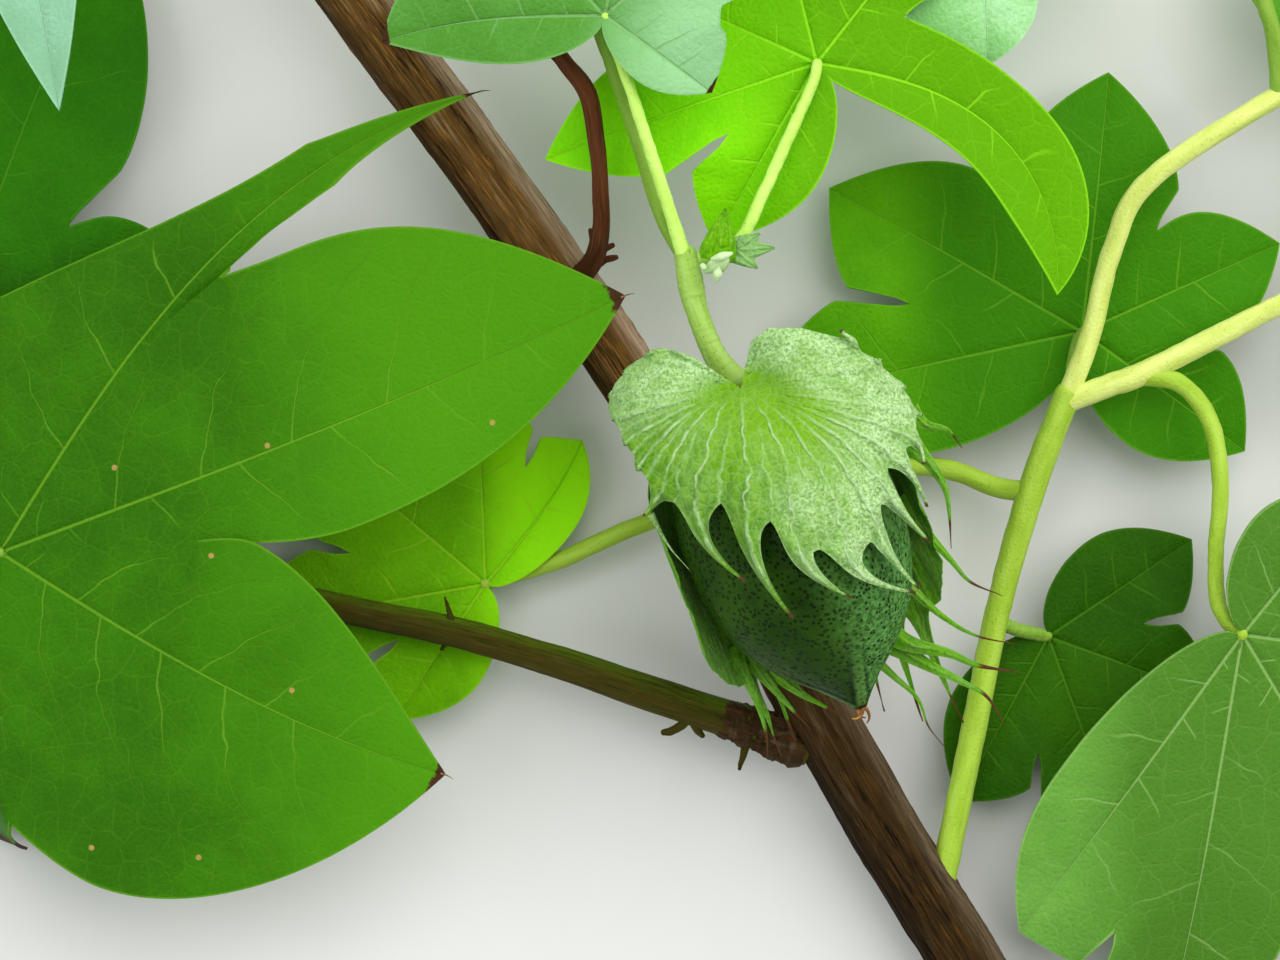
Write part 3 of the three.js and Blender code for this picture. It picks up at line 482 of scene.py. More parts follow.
def limb(line, around, steps, relief=None, ends=("flat", "flat")):
    """A closed tube along a smooth curve through points with radii: circles across it, whose points stand
    out by relief(turn, share) more. A flat end is a disc of rings, and a round one closes over a half-
    circle."""
    path, length = curve_through(line, steps)
    middle, radii = path[:, :3], np.maximum(path[:, 3], 0.01)
    along = unit(np.gradient(middle, axis=0))
    across = unit(np.cross(np.array([0.05, 0.03, 1.0]), along))
    up = np.cross(along, across)
    share = np.linspace(0, 1, steps)[:, None]
    turn = (np.arange(around) / around)[None, :]
    stand = relief(turn + 0 * share, share + 0 * turn) if relief else np.zeros((steps, around))
    radius = radii[:, None] + stand
    angle = 2 * np.pi * turn[..., None]
    spoke = across[:, None, :] * np.cos(angle) + up[:, None, :] * np.sin(angle)
    inset = np.array([0, 0.3, 0.6, 0.85])
    caps = []
    for index, end, sign in ((0, ends[0], -1), (-1, ends[1], 1)):
        swell = np.sqrt(1 - inset**2) * radii[index] * (0.8 if end == "round" else 0)
        cap = middle[index] + spoke[index] * (radius[index][None, :] * inset[:, None])[..., None]
        cap = cap + (along[index] * sign) * swell[:, None, None]
        caps.append(cap[::-sign])
    corners = np.concatenate([caps[0], middle[:, None, :] + spoke * radius[..., None], caps[1]])
    faces = grid_faces(len(corners), around, around=True)
    row, column = faces // around, faces % around
    crosses = column.max(axis=1, keepdims=True) == around - 1
    column = np.where(crosses & (column == 0), around, column)
    run = np.concatenate([-radii[0] * (1 - inset), np.linspace(0, length, steps),
                          length + radii[-1] * (1 - inset[::-1])])
    flat_end = np.concatenate(
        [np.full(4, ends[0] == "flat"), np.zeros(steps), np.full(4, ends[1] == "flat")]
    )
    height = np.concatenate([np.repeat(stand[:1], 4, 0), stand, np.repeat(stand[-1:], 4, 0)])
    maps = {
        "wrap": rows_of(column / around * 2 * np.pi * radii.mean(), run[row]),
        "ridge": rows_of(height[row, column % around], flat_end[row]),
    }
    return weld(corners.reshape(-1, 3), faces, maps)


# Leaves


def leaf_parts(name):
    """The lobes of a leaf, each with the notch on its right and on its left."""
    notches = [None, *LEAVES[name][2], None]
    for index, lobe in enumerate(LEAVES[name][1]):
        yield Lobe(*lobe), notches[index], notches[index + 1]


def corner_on(lobe, notch):
    """A notch's corner, how far along the lobe's midrib it lies, and how far from it."""
    corner = notch[1] * np.array([math.cos(math.radians(notch[0])), math.sin(math.radians(notch[0]))])
    trial = np.linspace(0, lobe.length, 101)
    away = np.linalg.norm(on_midrib(lobe, trial) - corner, axis=1)
    return corner, trial[away.argmin()], away.min()


def on_midrib(lobe, distance):
    """The point at a distance along a lobe's midrib, whose heading turns with the square of the distance."""
    angle = np.radians(lobe.heading + lobe.bend * (distance / lobe.length) ** 2)
    return rows_of(distance * np.cos(angle), distance * np.sin(angle))


def lobe_edge(lobe, notch, width, sign, rows, shared):
    """Points down one side of a lobe. Up to the shared row they run straight from the base to the notch.
    Beyond it they stand off the midrib by a half-width that rises like a quarter of a sine to its peak
    and then falls as one less a power of the share of the way to the tip. They keep clear of the line on
    through the notch, unless the lobes lap there."""
    length = lobe.length
    row = np.arange(rows + 1)
    corner, start, start_width = corner_on(lobe, notch) if notch else (np.zeros(2), 0.0, 0.0)
    peak = max(lobe.widest * length, start + 0.12 * length)
    share = held((row - shared) / (rows - shared)) if notch else row / rows
    distance = start + (length - start) * share
    rise = np.sin(np.pi / 2 * held((distance - start) / (peak - start)))
    rise = rise if notch else np.sqrt(rise)
    fall = 1 - held((distance - peak) / (length - peak)) ** lobe.fullness
    half = np.where(distance < peak, start_width + (width - start_width) * rise, width * fall)
    step = length * 0.002
    ahead = on_midrib(lobe, np.minimum(distance + step, length))
    run = unit(ahead - on_midrib(lobe, np.maximum(distance - step, 0)))
    middle = on_midrib(lobe, distance)
    edge = middle + rows_of(-run[:, 1], run[:, 0]) * sign * half[:, None]
    lift = 1.6 * half / max(width, start_width)
    if notch:
        fold_share, lap = (*notch, 1, 0)[2:4]
        clear_side = np.array([corner[1], -corner[0]]) * sign / notch[1]
        past = np.maximum(edge @ corner / notch[1] - notch[1], 0)
        gap = LOBE_GAP * np.minimum(past / 2, 1) + 0.07 * past
        apart = middle @ clear_side
        clear = apart > 2 * LOBE_GAP
        if lap:
            gap = -lap * eased(past / 2)
            clear = eased(apart / 3)
        shift = np.maximum(0, gap - edge @ clear_side) * clear
        edge = edge + clear_side * shift[:, None]
        inner = row <= shared
        edge = np.where(inner[:, None], corner * (row / shared)[:, None], edge)
        beyond = fold_share * (1 + (lift - 1) * eased(share * 4))
        lift = np.where(inner, row / shared * fold_share, beyond)
        if lap:
            lift = lift + sign * 1.2 * eased(past / 2) * held(1 - past / 16)
    return edge, lift, half, held(share * 6) if notch else np.ones(rows + 1)


def vein_origin(run, aside):
    """Where along the midrib the side vein through a point leaves it: run less a share of aside, less the
    cube of aside over a number, so that side veins bend more and more towards the lobe's tip."""
    off = np.abs(aside)
    return run - VEIN_SLANT * off - off**3 / VEIN_CURVE


def vein_distance(run, aside, length, count):
    """How far, in millimetres, a point lies from the nearest side vein. Side veins leave the midrib at
    evenly growing steps, those on one side between those on the other."""
    origin = vein_origin(run, aside)
    step = count * np.maximum(origin / length, 0) ** VEIN_CROWDING + VEIN_STAGGER * (aside > 0)
    part = step - np.floor(step)
    away = np.minimum(part, 1 - part) * length / count * 0.9
    return np.where(origin > 0.01 * length, away, 9.0)


def leaf(name, rows=60, half_columns=16, fold=0.6, veins=7, quilt=0.12, wave=0.6):
    """A leaf's upper surface as one grid for each lobe: rows from base to tip, columns from edge to edge,
    shared lines between neighbours. Heights are the blade's slope, a rounded fold up from the midrib, the
    drop of the lobe's tip with the square of the way there, slow waves, quilting between the side veins
    and a groove along the midrib."""
    base, slope = np.array(LEAVES[name][0]), LEAVES[name][3]
    shared = round(rows * 0.4)
    seed = sum(map(ord, name))
    shells = []
    for lobe, right_notch, left_notch in leaf_parts(name):
        length = lobe.length
        right = lobe_edge(lobe, right_notch, lobe.right, -1, rows, shared)
        left = lobe_edge(lobe, left_notch, lobe.left, 1, rows, shared)
        middle = on_midrib(lobe, length * (np.arange(rows + 1) / rows) ** 1.1)[:, None, :]
        column = np.arange(-half_columns, half_columns + 1)[None, :]
        part = np.abs(column) / half_columns
        edge, lift, half, free = (
            np.where((column < 0).reshape((1, -1) + (1,) * (a.ndim - 1)), a[:, None], b[:, None])
            for a, b in zip(left, right)
        )
        plan = middle + (edge - middle) * part[..., None]
        has_notch = np.where(column < 0, left_notch is not None, right_notch is not None)
        between = held((shared + 4 - np.arange(rows + 1)[:, None]) / 4) * has_notch
        inside = 1 - part**6 * between
        x, y = plan[..., 0], plan[..., 1]
        beyond = held((np.arange(rows + 1) - shared) / (rows - shared))[:, None]
        reach = np.hypot(x, y)
        turn = np.arctan2(y, x) - np.radians(lobe.heading + lobe.bend * (reach / length) ** 2)
        turn = (turn + np.pi) % (2 * np.pi) - np.pi
        run, aside = reach * np.cos(turn), reach * np.sin(turn)
        side_vein = vein_distance(run, aside, length, veins)
        z = slope[0] * x + slope[1] * y - lobe.drop * beyond**2
        z = z + fold * lift * (1 - (1 - part) ** 2)
        z = z + wave * (noise(x / 60 + 0.3, y / 120 + 0.5, 4, 8, seed) - 0.5) * np.minimum(1, reach / 15)
        puffed = held(side_vein / 3) ** 0.6 - 0.5
        puffed = puffed * held(np.abs(aside) / 3) * (side_vein < 9)
        groove = 0.2 * bell(aside, 0.6) * (1 - 0.6 * run / length)
        z = z + (quilt * puffed - groove) * inside
        rim = (1 - part) * half + 0.6 * (free <= 0.05)
        faces = grid_faces(rows + 1, 2 * half_columns + 1)
        maps = {
            "lobe": on_faces(faces, run, aside),
            "span": on_faces(faces, length, rim),
            "plan": on_faces(faces, x, y),
        }
        shells.append(((base + rows_of(x, y, z)).reshape(-1, 3), faces, maps))
    return blade(*joined(*shells), LEAF_THICKNESS)


# The boll and its bracts

BOLL_LENGTH = np.linalg.norm(BOLL_TIP - BOLL_BASE)
BOLL_ALONG = (BOLL_TIP - BOLL_BASE) / BOLL_LENGTH
BOLL_SIDE = unit(np.cross([0, 0, 1.0], BOLL_ALONG))
BOLL_FRONT = np.cross(BOLL_ALONG, BOLL_SIDE)
BOLL_OUTLINE = rows_of(np.array(BOLL_SHARES) * BOLL_LENGTH, np.array(BOLL_WIDTHS) * BOLL_RADIUS, 0.0)
BOLL_PATH = curve_through(BOLL_OUTLINE, 180)[0]


def boll_radius_at(distance):
    """The boll's radius at a distance along its axis."""
    return np.interp(distance, BOLL_PATH[:, 0], BOLL_PATH[:, 1])


def round_boll(distance, degrees, radius):
    """The point at a distance along the boll's axis and a radius from it, turned from its front to its
    right."""
    turn = np.radians(degrees)[..., None]
    spoke = BOLL_FRONT * np.cos(turn) + BOLL_SIDE * np.sin(turn)
    return BOLL_BASE + BOLL_ALONG * distance[..., None] + spoke * radius[..., None]


def boll(around=240):
    """The boll: its profile turned round its axis, swollen a little over each of four valves and lumpy.
    Along each suture near the beak a ridge stands between two grooves, and the surface there is
    pinched."""
    distance, width = BOLL_PATH[:, 0][:, None], BOLL_PATH[:, 1][:, None]
    degrees = (360 * np.arange(around) / around)[None, :]
    share = distance / BOLL_LENGTH + 0 * degrees
    from_suture = np.abs((degrees + 32) % 90 - 45)
    away = np.radians(from_suture) * width
    beak = eased((share - 0.66) * 4)
    groove = beak * (0.4 * bell(away - 1.3, 0.5) - 0.12 * bell(away, 0.7)) + 0.1 * bell(away, 0.8)
    swell = 1 + 0.02 * np.cos(np.radians(4 * (degrees + 32 - 45))) * np.sin(np.pi * share)
    lumps = 0.3 * (noise(degrees / 360, share, 14, 9, 5) - 0.5)
    bumps = 0.16 * (noise(degrees / 360, share, 78, 40, 6) - 0.5) * (0.3 + 0.7 * eased((share - 0.3) * 2))
    radius = width * swell + (lumps + bumps - groove) * np.minimum(1, width / 6)
    corners = round_boll(distance + 0 * degrees, degrees + 0 * distance, radius)
    first = np.repeat((BOLL_BASE + BOLL_ALONG * 0.4)[None, None, :], around, axis=1)
    last = np.repeat((BOLL_TIP + BOLL_ALONG * 0.3)[None, None, :], around, axis=1)
    corners = np.concatenate([first, corners, last])
    faces = grid_faces(len(corners), around, around=True)[:, [0, 2, 1]]
    row, column = faces // around, faces % around
    axis_share = np.concatenate([[0], BOLL_PATH[:, 0] / BOLL_LENGTH, [1]])
    suture = np.concatenate([away[:1], away, away[-1:]])
    # The boll's right side, where its painted highlight goes
    light_side = eased((np.sin(np.radians(degrees - 8)) + 0.35) / 0.9) + 0 * axis_share[:, None]
    maps = {
        "boll": rows_of(axis_share[row], suture[row, column]),
        "side": rows_of(column / around, light_side[row, column]),
    }
    return weld(corners.reshape(-1, 3), faces, maps)


def front_height(x, y):
    """How high the front bract stands over a point of the drawing: half an egg over the boll with a dip
    at the attachment, or the boll's own roundness and a gap, whichever is higher, with the two eased
    together."""
    dx, dy = x - BOLL_BASE[0], y - BOLL_BASE[1]
    along = dx * BOLL_ALONG[0] + dy * BOLL_ALONG[1]
    aside = dx * BOLL_SIDE[0] + dy * BOLL_SIDE[1]
    reach = np.where(along < 14, 27, 36)
    pillow = 1 - ((along - 14) / reach) ** 2 - (aside / 23) ** 2
    egg = 15.6 * np.sqrt(np.maximum(0.02, pillow)) - 9 * np.exp(-(along**2 + aside**2) / 32)
    radius = np.where(along > -2, boll_radius_at(np.maximum(along, 0)) + 1.8, 0)
    cover = np.sqrt(np.maximum(radius**2 - aside**2, 0)) * (radius > 0)
    apart = np.abs(egg - cover)
    return 36.6 + np.maximum(egg, cover) + 0.35 * np.exp(-apart / 0.9)


def bract_sheet(notches, teeth, place, bow=0.0, body_rows=44, tooth_rows=26, columns=16):
    """A bract's outer surface. Between each two neighbouring notches lines run out from the attachment.
    They leave it more sideways by the bow and then turn down. A tooth may go on from there: its middle
    bends on from the lines' direction to the tooth's tip, and its half-width falls fast to about half of
    the line, for a round notch, and with the power 1.5 of what is left of the way, for a thread at the
    tip. The veins' place across is counted in notches. place takes flat points, that place, the part of
    the way to the rim and the width between veins to the drawing."""
    shells = []
    across = np.linspace(-1, 1, columns + 1)[None, :, None]
    row = np.linspace(0, 1, body_rows + 1)[:, None, None]
    for index in range(len(notches) - 1):
        first, second = np.array(notches[index], float), np.array(notches[index + 1], float)
        base, half = (first + second) / 2, (second - first) / 2
        rim = base + half * across
        down = held(-rim[..., 1:] / np.linalg.norm(rim, axis=-1, keepdims=True))
        turning = rim * (0.5 + bow * down * np.array([1.0, -1.0]))
        flat = 2 * row * (1 - row) * turning + row**2 * rim
        part = (row + 0 * across)[..., 0]
        if index in teeth:
            tip = np.array(teeth[index], float)
            share = np.linspace(0, 1, tooth_rows + 1)[1:, None]
            bend = base + unit(base - turning[0, columns // 2]) * np.linalg.norm(tip - base) * 0.45
            middle = (1 - share) ** 2 * base + 2 * share * (1 - share) * bend + share**2 * tip
            run = unit((1 - share) * (bend - base) + share * (tip - bend))
            square = rows_of(-run[:, 1], run[:, 0])
            square = square * np.sign(square @ half)[:, None]
            side = unit(unit(half) + (square - unit(half)) * eased(share * 2)) * np.linalg.norm(half)
            narrowed = (1 - share) ** 1.5 * (0.54 + 0.43 * np.exp(-5 * share)) + 0.012
            flat = np.concatenate([flat, middle[:, None, :] + across * (narrowed * side)[:, None, :]])
            part = np.concatenate([part, 1 + share + 0 * across[..., 0]])
        width = np.linalg.norm(flat[:, -1:] - flat[:, :1], axis=-1) + 0 * part
        vein = index + (across[..., 0] + 1) / 2 + 0 * part
        faces = grid_faces(len(flat), columns + 1)
        maps = {
            "fan": on_faces(faces, vein, width),
            "reach": on_faces(faces, part, np.linalg.norm(flat, axis=-1)),
        }
        shells.append((place(flat, vein, part, width).reshape(-1, 3), faces, maps))
    return joined(*shells)


# Veins of a bract: place between two notches, the part of the way out where it begins, and strength.
BRACT_VEINS = ((0.5, 0.12, 1.0), (0.0, 0.35, 0.55))


def vein_ridges(vein, part, width):
    """How high the veins stand: one to the middle of every tooth and a lower one to every notch, from a
    third of the way out. They sink where they crowd together."""
    height = 0
    for offset, start, tall in BRACT_VEINS:
        away = np.abs((vein - offset + 0.5) % 1 - 0.5) * width
        height = height + tall * bell(away, 0.24) * eased((part - start) * 4)
    return height * held(width / 1.6 - 0.3)


def front_place(flat, vein, part, width):
    """The front bract in the drawing: its flat shape over the boll, with ridges along the veins, small
    puckers between them, waves across the sheet that grow towards the rim, and tooth tips that lift."""
    x = BRACT_ATTACHMENT[0] + flat[..., 0]
    y = BRACT_ATTACHMENT[1] + flat[..., 1]
    rim = np.clip(part, 0, 1.3)
    waves = noise(vein / 9, rim / 1.4, 14, 5, 21) - 0.5
    puckers = noise(vein / 27, rim / 1.4, 130, 30, 22) - 0.5
    ribbed = np.interp(vein, [4.5, 7.5, 16.5, 19.5], [0.2, 1, 1, 0.2])
    z = front_height(x, y) + 0.16 * ribbed * vein_ridges(vein, part, width)
    z = z + (1.5 * waves + 0.35 * np.cos(2 * np.pi * (vein - 0.5))) * rim**3
    z = z + 0.2 * puckers * eased(part * 3) * (part < 1) + 1.2 * held(part - 1) ** 2
    return rows_of(x, y, z)


def back_place(middle, lean, seed):
    """A function that wraps a flat bract round the back of the boll, its middle at the given degrees:
    across is turned round the boll and down runs along it. It leaves the boll's base close, stands off by
    the bracts' radius from 12 mm on, and leans out with the square of the way down."""

    def place(flat, vein, part, width):
        distance = 1 - flat[..., 1]
        degrees = middle + math.copysign(1, middle) * np.degrees(flat[..., 0] / BRACT_RADIUS)
        close = boll_radius_at(np.clip(distance, 0, 30)) + BRACT_THICKNESS + 0.4
        stand = close + (BRACT_RADIUS - close) * eased(distance / 13)
        stand = stand + np.interp(flat[..., 0], [-14, -6, 14], lean) * np.clip(distance / 40, 0, 1.3) ** 2
        waves = (noise(vein / 9, part / 2.1, 14, 7, seed) - 0.5) * (1 - 0.7 * held(part - 1))
        stand = stand + 0.9 * waves * held(part) ** 2 + 0.12 * vein_ridges(vein, part, width)
        return round_boll(distance, degrees, stand)

    return place


def bract(notches, teeth, place, outward=True, bow=0.0, streamers=()):
    """A bract as a closed thin sheet, with the long teeth that hang from it."""
    corners, faces, maps = bract_sheet(notches, teeth, place, bow)
    if not outward:
        faces = faces[:, [0, 2, 1]]
        maps = {name: values[:, [0, 2, 1]] for name, values in maps.items()}
    sheet = blade(corners, faces, maps, BRACT_THICKNESS)
    return joined(sheet, *(streamer(points, half) for points, half in streamers))


def streamer(points, half_width, steps=40, columns=4):
    """A long tooth as a closed thin ribbon: a smooth curve through the points, level across, whose half-
    width falls with the power 1.3 of what is left of the way, to a thread. Its middle stands up as a keel
    and its edges wave."""
    path, _ = curve_through(points, steps)
    along = unit(np.gradient(path, axis=0))
    left = unit(np.cross([0.0, 0.0, 1.0], along))
    share = np.linspace(0, 1, steps)[:, None]
    across = np.linspace(1, -1, 2 * columns + 1)[None, :]
    half = half_width * ((1 - share) ** 1.3 * (0.55 + 0.45 * np.exp(-5 * share)) + 0.03)
    corners = path[:, None, :] + left[:, None, :] * (half * across)[..., None]
    ripple = np.sin(share * 17 + across) * np.abs(across)
    corners[..., 2] += half * (0.3 - 0.45 * across**2 + 0.2 * ripple)
    faces = grid_faces(steps, 2 * columns + 1)
    vein, part, width = (across + 1) / 2 + 0 * share, 1 + share + 0 * across, 2 * half + 0 * across
    maps = {"fan": on_faces(faces, vein, width), "reach": on_faces(faces, part, 12 * part)}
    return blade(corners.reshape(-1, 3), faces, maps, BRACT_THICKNESS)


def small_bract(base, tips, half_width, lift, rows=22, columns=7):
    """A bud's bract: a pointed blade from the base to each tip, whose half-width falls with the power 0.8
    of what is left of the way, crowned in its middle by the lift, its edges lower."""
    blades = []
    for tip in tips:
        share = np.linspace(0, 1, rows)[:, None]
        across = np.linspace(1, -1, 2 * columns + 1)[None, :]
        run = np.array(tip, float) - base
        left = unit(np.array([-run[1], run[0], 0.0]))
        half = half_width * (1 - share) ** 0.8 * (1 - 0.35 * np.exp(-9 * share)) + 0.03
        corners = np.array(base) + run * share[..., None] + left * (half * across)[..., None]
        crown = lift * np.sin(np.pi * share) - 0.9 * across**2 * (1 - share)
        corners[..., 2] += crown + 0.1 * np.cos(9 * across)
        faces = grid_faces(rows, 2 * columns + 1)
        maps = {
            "fan": on_faces(faces, 1.5 * (across + 1), 0.7 * half),
            "reach": on_faces(faces, 0.9 * share + 0 * across, 9 * share),
        }
        blades.append(blade(corners.reshape(-1, 3), faces, maps, BRACT_THICKNESS))
    return joined(*blades)


def thread(start, heading, length, curl, width=0.22):
    """A dried curled thread: its heading turns by the same angle at every step, so it lies on a spiral."""
    steps = 9
    turns = np.linspace(0, 1, steps) ** 1.4 * curl
    across = unit(np.cross(heading, [0.1, 0.2, 1.0]))
    headings = unit(np.array(heading, float)) * np.cos(turns)[:, None] + across * np.sin(turns)[:, None]
    moved = np.concatenate([np.zeros((1, 3)), np.cumsum(headings[:-1], axis=0)])
    points = np.array(start) + moved * length / steps
    return limb(with_radii(points, [width, width * 0.7, width * 0.3]), 6, 14, ends=("round", "round"))


def leaf_points(name, shell):
    """The short dry point at the tip of each lobe, where the leaf's own surface ends."""
    points = []
    for lobe, _, _ in leaf_parts(name):
        end, before = on_midrib(lobe, np.array([lobe.length, lobe.length - 2.0]))
        tip = np.array(LEAVES[name][0][:2]) + end
        nearest = shell[0][np.linalg.norm(shell[0][:, :2] - tip, axis=1).argmin()]
        heading = np.append(unit(end - before), 0.1)
        points.append(thread(nearest - heading * 0.6, heading, 2.0, 0.5, 0.13))
    return points


# Bark and shoots


def bark_relief(seed, depth, across=26, along=11):
    """Stringy bark: two layers of ridges that run along the limb, the finer one twice as close, over slow
    lumps."""

    def relief(turn, share):
        twist = turn + 0.1 * (noise(turn, share, 3, along, seed + 1) - 0.5)
        coarse = ridged(noise(twist, share, across, along, seed)) ** 2
        fine = ridged(noise(twist, share, across * 2, along * 2, seed + 2)) ** 2
        lumps = noise(turn, share, 3, along, seed + 3) - 0.5
        return depth * (coarse + 0.6 * fine - 0.8) + depth * lumps

    return relief


def shoot_relief(seed, depth):
    """A green limb: slow lumps."""

    def relief(turn, share):
        return depth * (noise(turn, share, 5, 40, seed) - 0.5)

    return relief


# Shader nodes


def join(socket, value):
    """Feed a socket from a value, or set it to a number, a vector, or a colour's red, green and blue."""
    if isinstance(value, Value):
        socket.id_data.links.new(value.socket, socket)
    elif value is not None:
        socket.default_value = (*value, 1) if socket.type == "RGBA" else value


def node_sum(operation, turned=False):
    """A method that sums up a value and another one in a node. turned takes the other one first."""

    def method(value, other=None):
        node = value.socket.id_data.nodes.new("ShaderNodeMath")
        node.operation = operation
        for socket, part in zip(node.inputs, (other, value) if turned else (value, other)):
            join(socket, part)
        return Value(node.outputs[0])

    return method


class Value:
    """What a node puts out: a number, a colour or a vector. Sums on it are written as on plain numbers."""

    def __init__(self, socket):
        self.socket = socket

    __add__ = node_sum("ADD")
    __sub__ = node_sum("SUBTRACT")
    __rsub__ = node_sum("SUBTRACT", turned=True)
    __mul__ = node_sum("MULTIPLY")
    __truediv__ = node_sum("DIVIDE")
    __pow__ = node_sum("POWER")
    __gt__ = node_sum("GREATER_THAN")
    __abs__ = node_sum("ABSOLUTE")
    max = node_sum("MAXIMUM")
    min = node_sum("MINIMUM")
    fract = node_sum("FRACT")


def node_beside(kind, *values, **settings):
    """A new node in the tree of the first of the values that comes from a node."""
    tree = next(value.socket.id_data for value in values if isinstance(value, Value))
    node = tree.nodes.new(f"ShaderNode{kind}")
    for name, setting in settings.items():
        setattr(node, name, setting)
    return node


def blend(share, first, second, kind="MIX"):
    """The first colour turned into the second by a share."""
    node = node_beside("Mix", share, first, second, data_type="RGBA", blend_type=kind)
    join(node.inputs[0], share)
    join(node.inputs[6], first)
    join(node.inputs[7], second)
    return Value(node.outputs[2])


def ramp(value, start, end, low=0, high=1):
    """A value eased from low to high while it runs from start to end."""
    node = node_beside("MapRange", value, interpolation_type="SMOOTHSTEP")
    for socket, number in zip(node.inputs, (value, start, end, low, high)):
        join(socket, number)
    return Value(node.outputs[0])


def texture(kind, vector, output=0, settings=(), **sockets):
    """A texture's output over a vector."""
    node = node_beside(f"Tex{kind}", vector, **dict(settings))
    join(node.inputs["Vector"], vector)
    for name, value in sockets.items():
        join(node.inputs[name.capitalize()], value)
    return Value(node.outputs[output])


# Kinds of cell texture: in a plane, and the distance to the nearest wall between cells
FLAT = {"voronoi_dimensions": "2D"}
WALLS = {"feature": "DISTANCE_TO_EDGE"}


def soft_noise(vector, scale, detail=2, roughness=0.5):
    """Smooth random values from 0 to 1 over a vector, with the given number of finer layers."""
    return texture("Noise", vector, scale=scale, detail=detail, roughness=roughness)


def from_map(tree, name):
    """The two numbers of a UV map, and the map itself."""
    node = tree.nodes.new("ShaderNodeUVMap")
    node.uv_map = name
    parts = tree.nodes.new("ShaderNodeSeparateXYZ")
    tree.links.new(node.outputs[0], parts.inputs[0])
    return Value(parts.outputs[0]), Value(parts.outputs[1]), Value(node.outputs[0])


def position(tree):
    """The place on the object, in metres."""
    return Value(tree.nodes.new("ShaderNodeTexCoord").outputs["Object"])


def stretched(vector, scale):
    """A vector scaled along each of its directions."""
    node = node_beside("Mapping", vector)
    join(node.inputs["Vector"], vector)
    node.inputs["Scale"].default_value = scale
    return Value(node.outputs[0])


def material(name, **sockets):
    """A new material with a Principled shader, its tree and the shader."""
    new = bpy.data.materials.new(name)
    new.use_nodes = True
    shader = new.node_tree.nodes["Principled BSDF"]
    for label, value in sockets.items():
        shader.inputs[label.replace("_", " ")].default_value = value
    return new, new.node_tree, shader


def bump(shader, height, distance):
    """Let a height in the given unit, in metres, stand out of a material's surface."""
    node = node_beside("Bump", height)
    node.inputs["Distance"].default_value = distance
    node.inputs["Strength"].default_value = 1
    join(node.inputs["Height"], height)
    join(shader.inputs["Normal"], Value(node.outputs[0]))


def finished(new, shader, colour, height, distance, roughness=None):
    """A material whose colour, relief and roughness are joined to its shader."""
    join(shader.inputs["Base Color"], colour)
    join(shader.inputs["Roughness"], roughness)
    bump(shader, height, distance)
    return new


def away_from_whole(value):
    """How far a value is from the nearest whole number."""
    part = value.fract()
    return part.min(1 - part)


